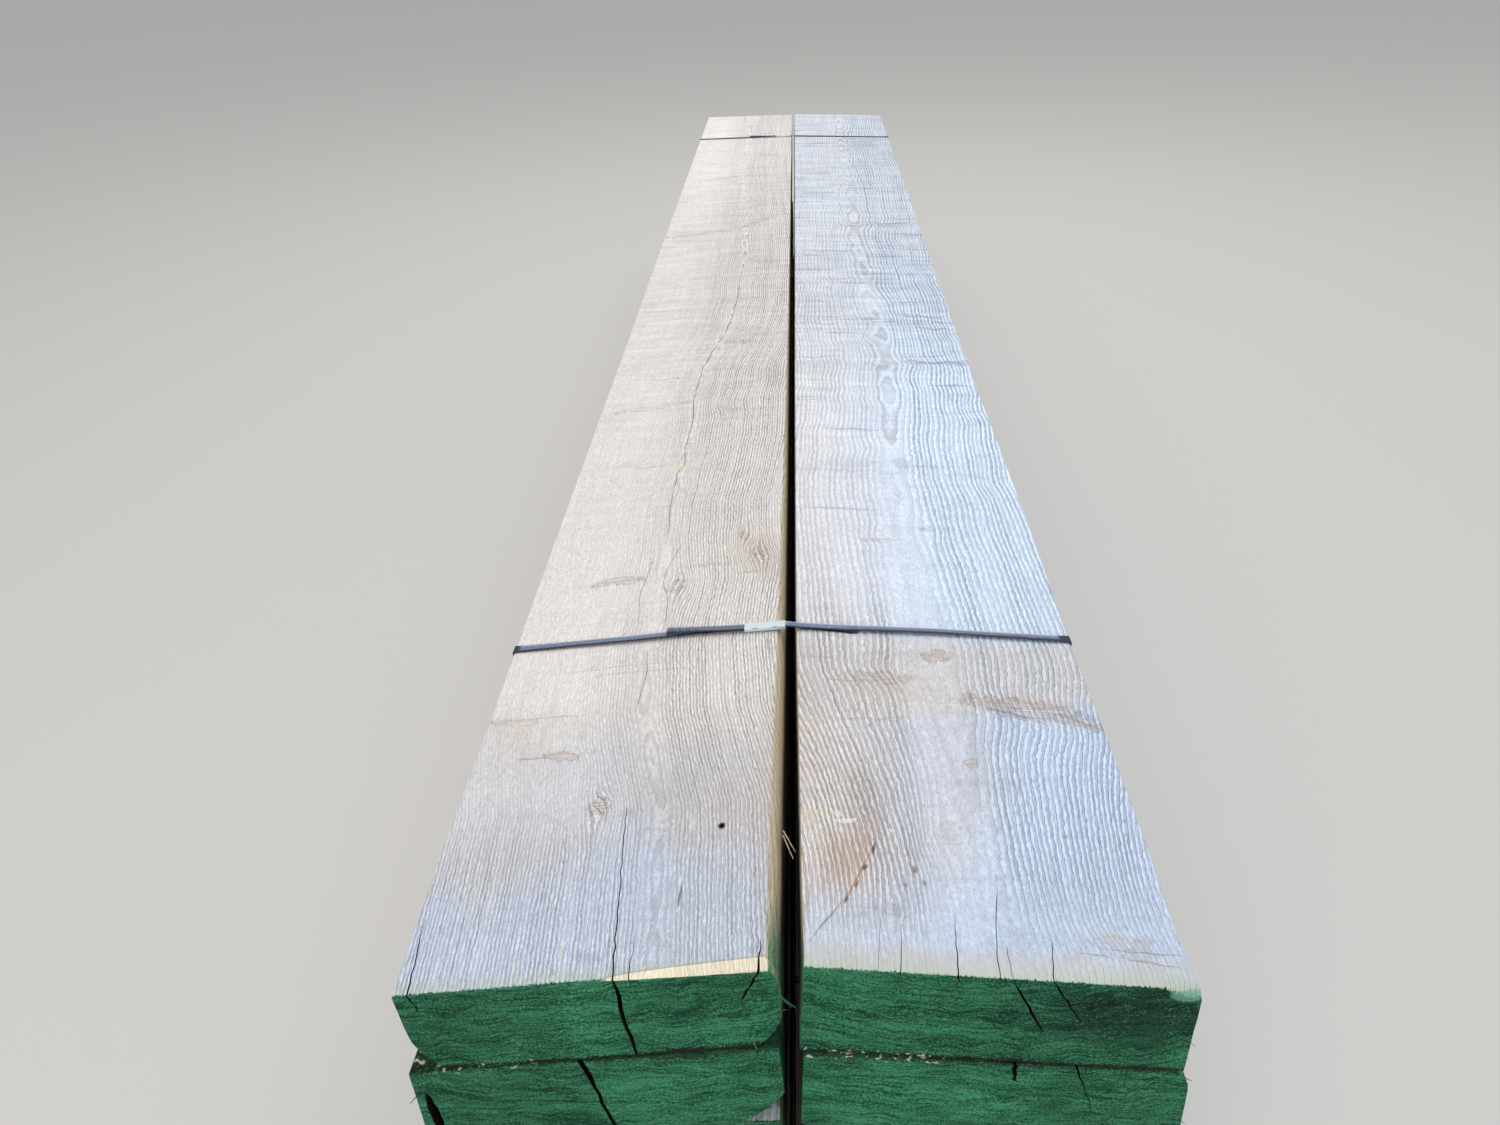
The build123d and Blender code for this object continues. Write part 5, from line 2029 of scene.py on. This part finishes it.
class STACK_OT_straps(bpy.types.Operator):
    """Finish the two steel straps and their seals"""

    bl_idname = "stack.straps"
    bl_label = "Finish straps"

    def execute(self, context):
        metal = context.scene.stack_metal
        strap = strap_steel(metal)
        seal = seal_steel(metal)
        for place in STRAP_Y:
            lay_strapping(f"strap_{place}", place, strap)
            lay_strapping(f"strap_seal_{place}", place, seal)
        return {"FINISHED"}


def soft_lamp(name, place, target, size, power):
    """A square lamp that points at a target."""
    data = bpy.data.lights.new(name, "AREA")
    data.shape = "SQUARE"
    data.size = size
    data.energy = power
    lamp = bpy.data.objects.new(name, data)
    lamp.location = place
    lamp.rotation_euler = (Vector(target) - Vector(place)).to_track_quat("-Z", "Y").to_euler()
    bpy.context.scene.collection.objects.link(lamp)


def add_floor(settings):
    """Lay the plain floor."""
    plane = bmesh.new()
    bmesh.ops.create_grid(plane, x_segments=1, y_segments=1, size=settings.floor_size / 2)
    floor = place_mesh(as_mesh(plane, "floor"), "floor")
    material, tree = new_finish("plain_floor")
    tree.finish("Base Color", (*settings.floor_colour, 1))
    tree.finish("Roughness", 0.9)
    floor.data.materials.append(material)


def add_camera(settings):
    """Stand the camera where the photographer stood."""
    tilt, heading, roll = settings.camera_tilt, settings.camera_heading, settings.camera_roll
    ahead = Vector(
        (math.sin(heading) * math.cos(tilt), math.cos(heading) * math.cos(tilt), -math.sin(tilt))
    )
    level = Vector((math.cos(heading), -math.sin(heading), 0))
    above = level.cross(ahead)
    right = level * math.cos(roll) - above * math.sin(roll)
    up = above * math.cos(roll) + level * math.sin(roll)
    data = bpy.data.cameras.new("camera")
    data.sensor_width = 36
    data.sensor_fit = "HORIZONTAL"
    data.lens = data.sensor_width * settings.focal_pixels / PHOTO_WIDTH
    data.clip_end = 200
    camera = bpy.data.objects.new("camera", data)
    camera.matrix_world = Matrix.Translation(settings.camera_place) @ Matrix(
        (right, up, -ahead)
    ).transposed().to_4x4()
    bpy.context.scene.collection.objects.link(camera)
    bpy.context.scene.camera = camera


class STACK_OT_stage(bpy.types.Operator):
    """Add the floor, the lamps and the camera"""

    bl_idname = "stack.stage"
    bl_label = "Add stage"

    def execute(self, context):
        settings = context.scene.stack_stage
        add_floor(settings)
        soft_lamp("top_lamp", (0.5, -0.4, 6.5), (0, 0, 0.5), 7, settings.top_light)
        soft_lamp("far_lamp", (0.3, 2.6, 3.4), (0, 1.6, 0.6), 2.5, settings.far_light)
        soft_lamp("front_lamp", (-0.8, -4.6, 2.2), (0, -1.6, 0.4), 2.5, settings.front_light)
        world = bpy.data.worlds.new("sky")
        world.use_nodes = True
        background = world.node_tree.nodes["Background"]
        background.inputs["Color"].default_value = (0.96, 0.98, 1, 1)
        background.inputs["Strength"].default_value = settings.sky_level
        context.scene.world = world
        context.scene.view_settings.view_transform = "Standard"
        add_camera(settings)
        return {"FINISHED"}


class STACK_PT_panel(bpy.types.Panel):
    """Sidebar panel that lists the pieces and their settings"""

    bl_idname = "STACK_PT_panel"
    bl_label = "Stack of boards"
    bl_space_type = "VIEW_3D"
    bl_region_type = "UI"
    bl_category = "Boards"

    def draw(self, context):
        layout = self.layout
        for operator in OPERATORS:
            layout.operator(operator.bl_idname)
        scene = context.scene
        for group in (scene.stack_wood, scene.stack_metal, scene.stack_stage):
            box = layout.box()
            for name in group.__annotations__:
                box.prop(group, name)


OPERATORS = (STACK_OT_left_boards, STACK_OT_right_boards, STACK_OT_straps, STACK_OT_stage)
CLASSES = (WoodFinish, MetalFinish, StageSettings, *OPERATORS, STACK_PT_panel)


def register():
    """Register the classes and hang their settings on the scene."""
    for item in CLASSES:
        bpy.utils.register_class(item)
    bpy.types.Scene.stack_wood = bpy.props.PointerProperty(type=WoodFinish)
    bpy.types.Scene.stack_metal = bpy.props.PointerProperty(type=MetalFinish)
    bpy.types.Scene.stack_stage = bpy.props.PointerProperty(type=StageSettings)


def unregister():
    """Undo register."""
    del bpy.types.Scene.stack_stage
    del bpy.types.Scene.stack_metal
    del bpy.types.Scene.stack_wood
    for item in reversed(CLASSES):
        bpy.utils.unregister_class(item)


def main():
    """Build the whole scene."""
    register()
    bpy.ops.stack.left_boards()
    bpy.ops.stack.right_boards()
    bpy.ops.stack.straps()
    bpy.ops.stack.stage()


if __name__ == "__main__":
    main()
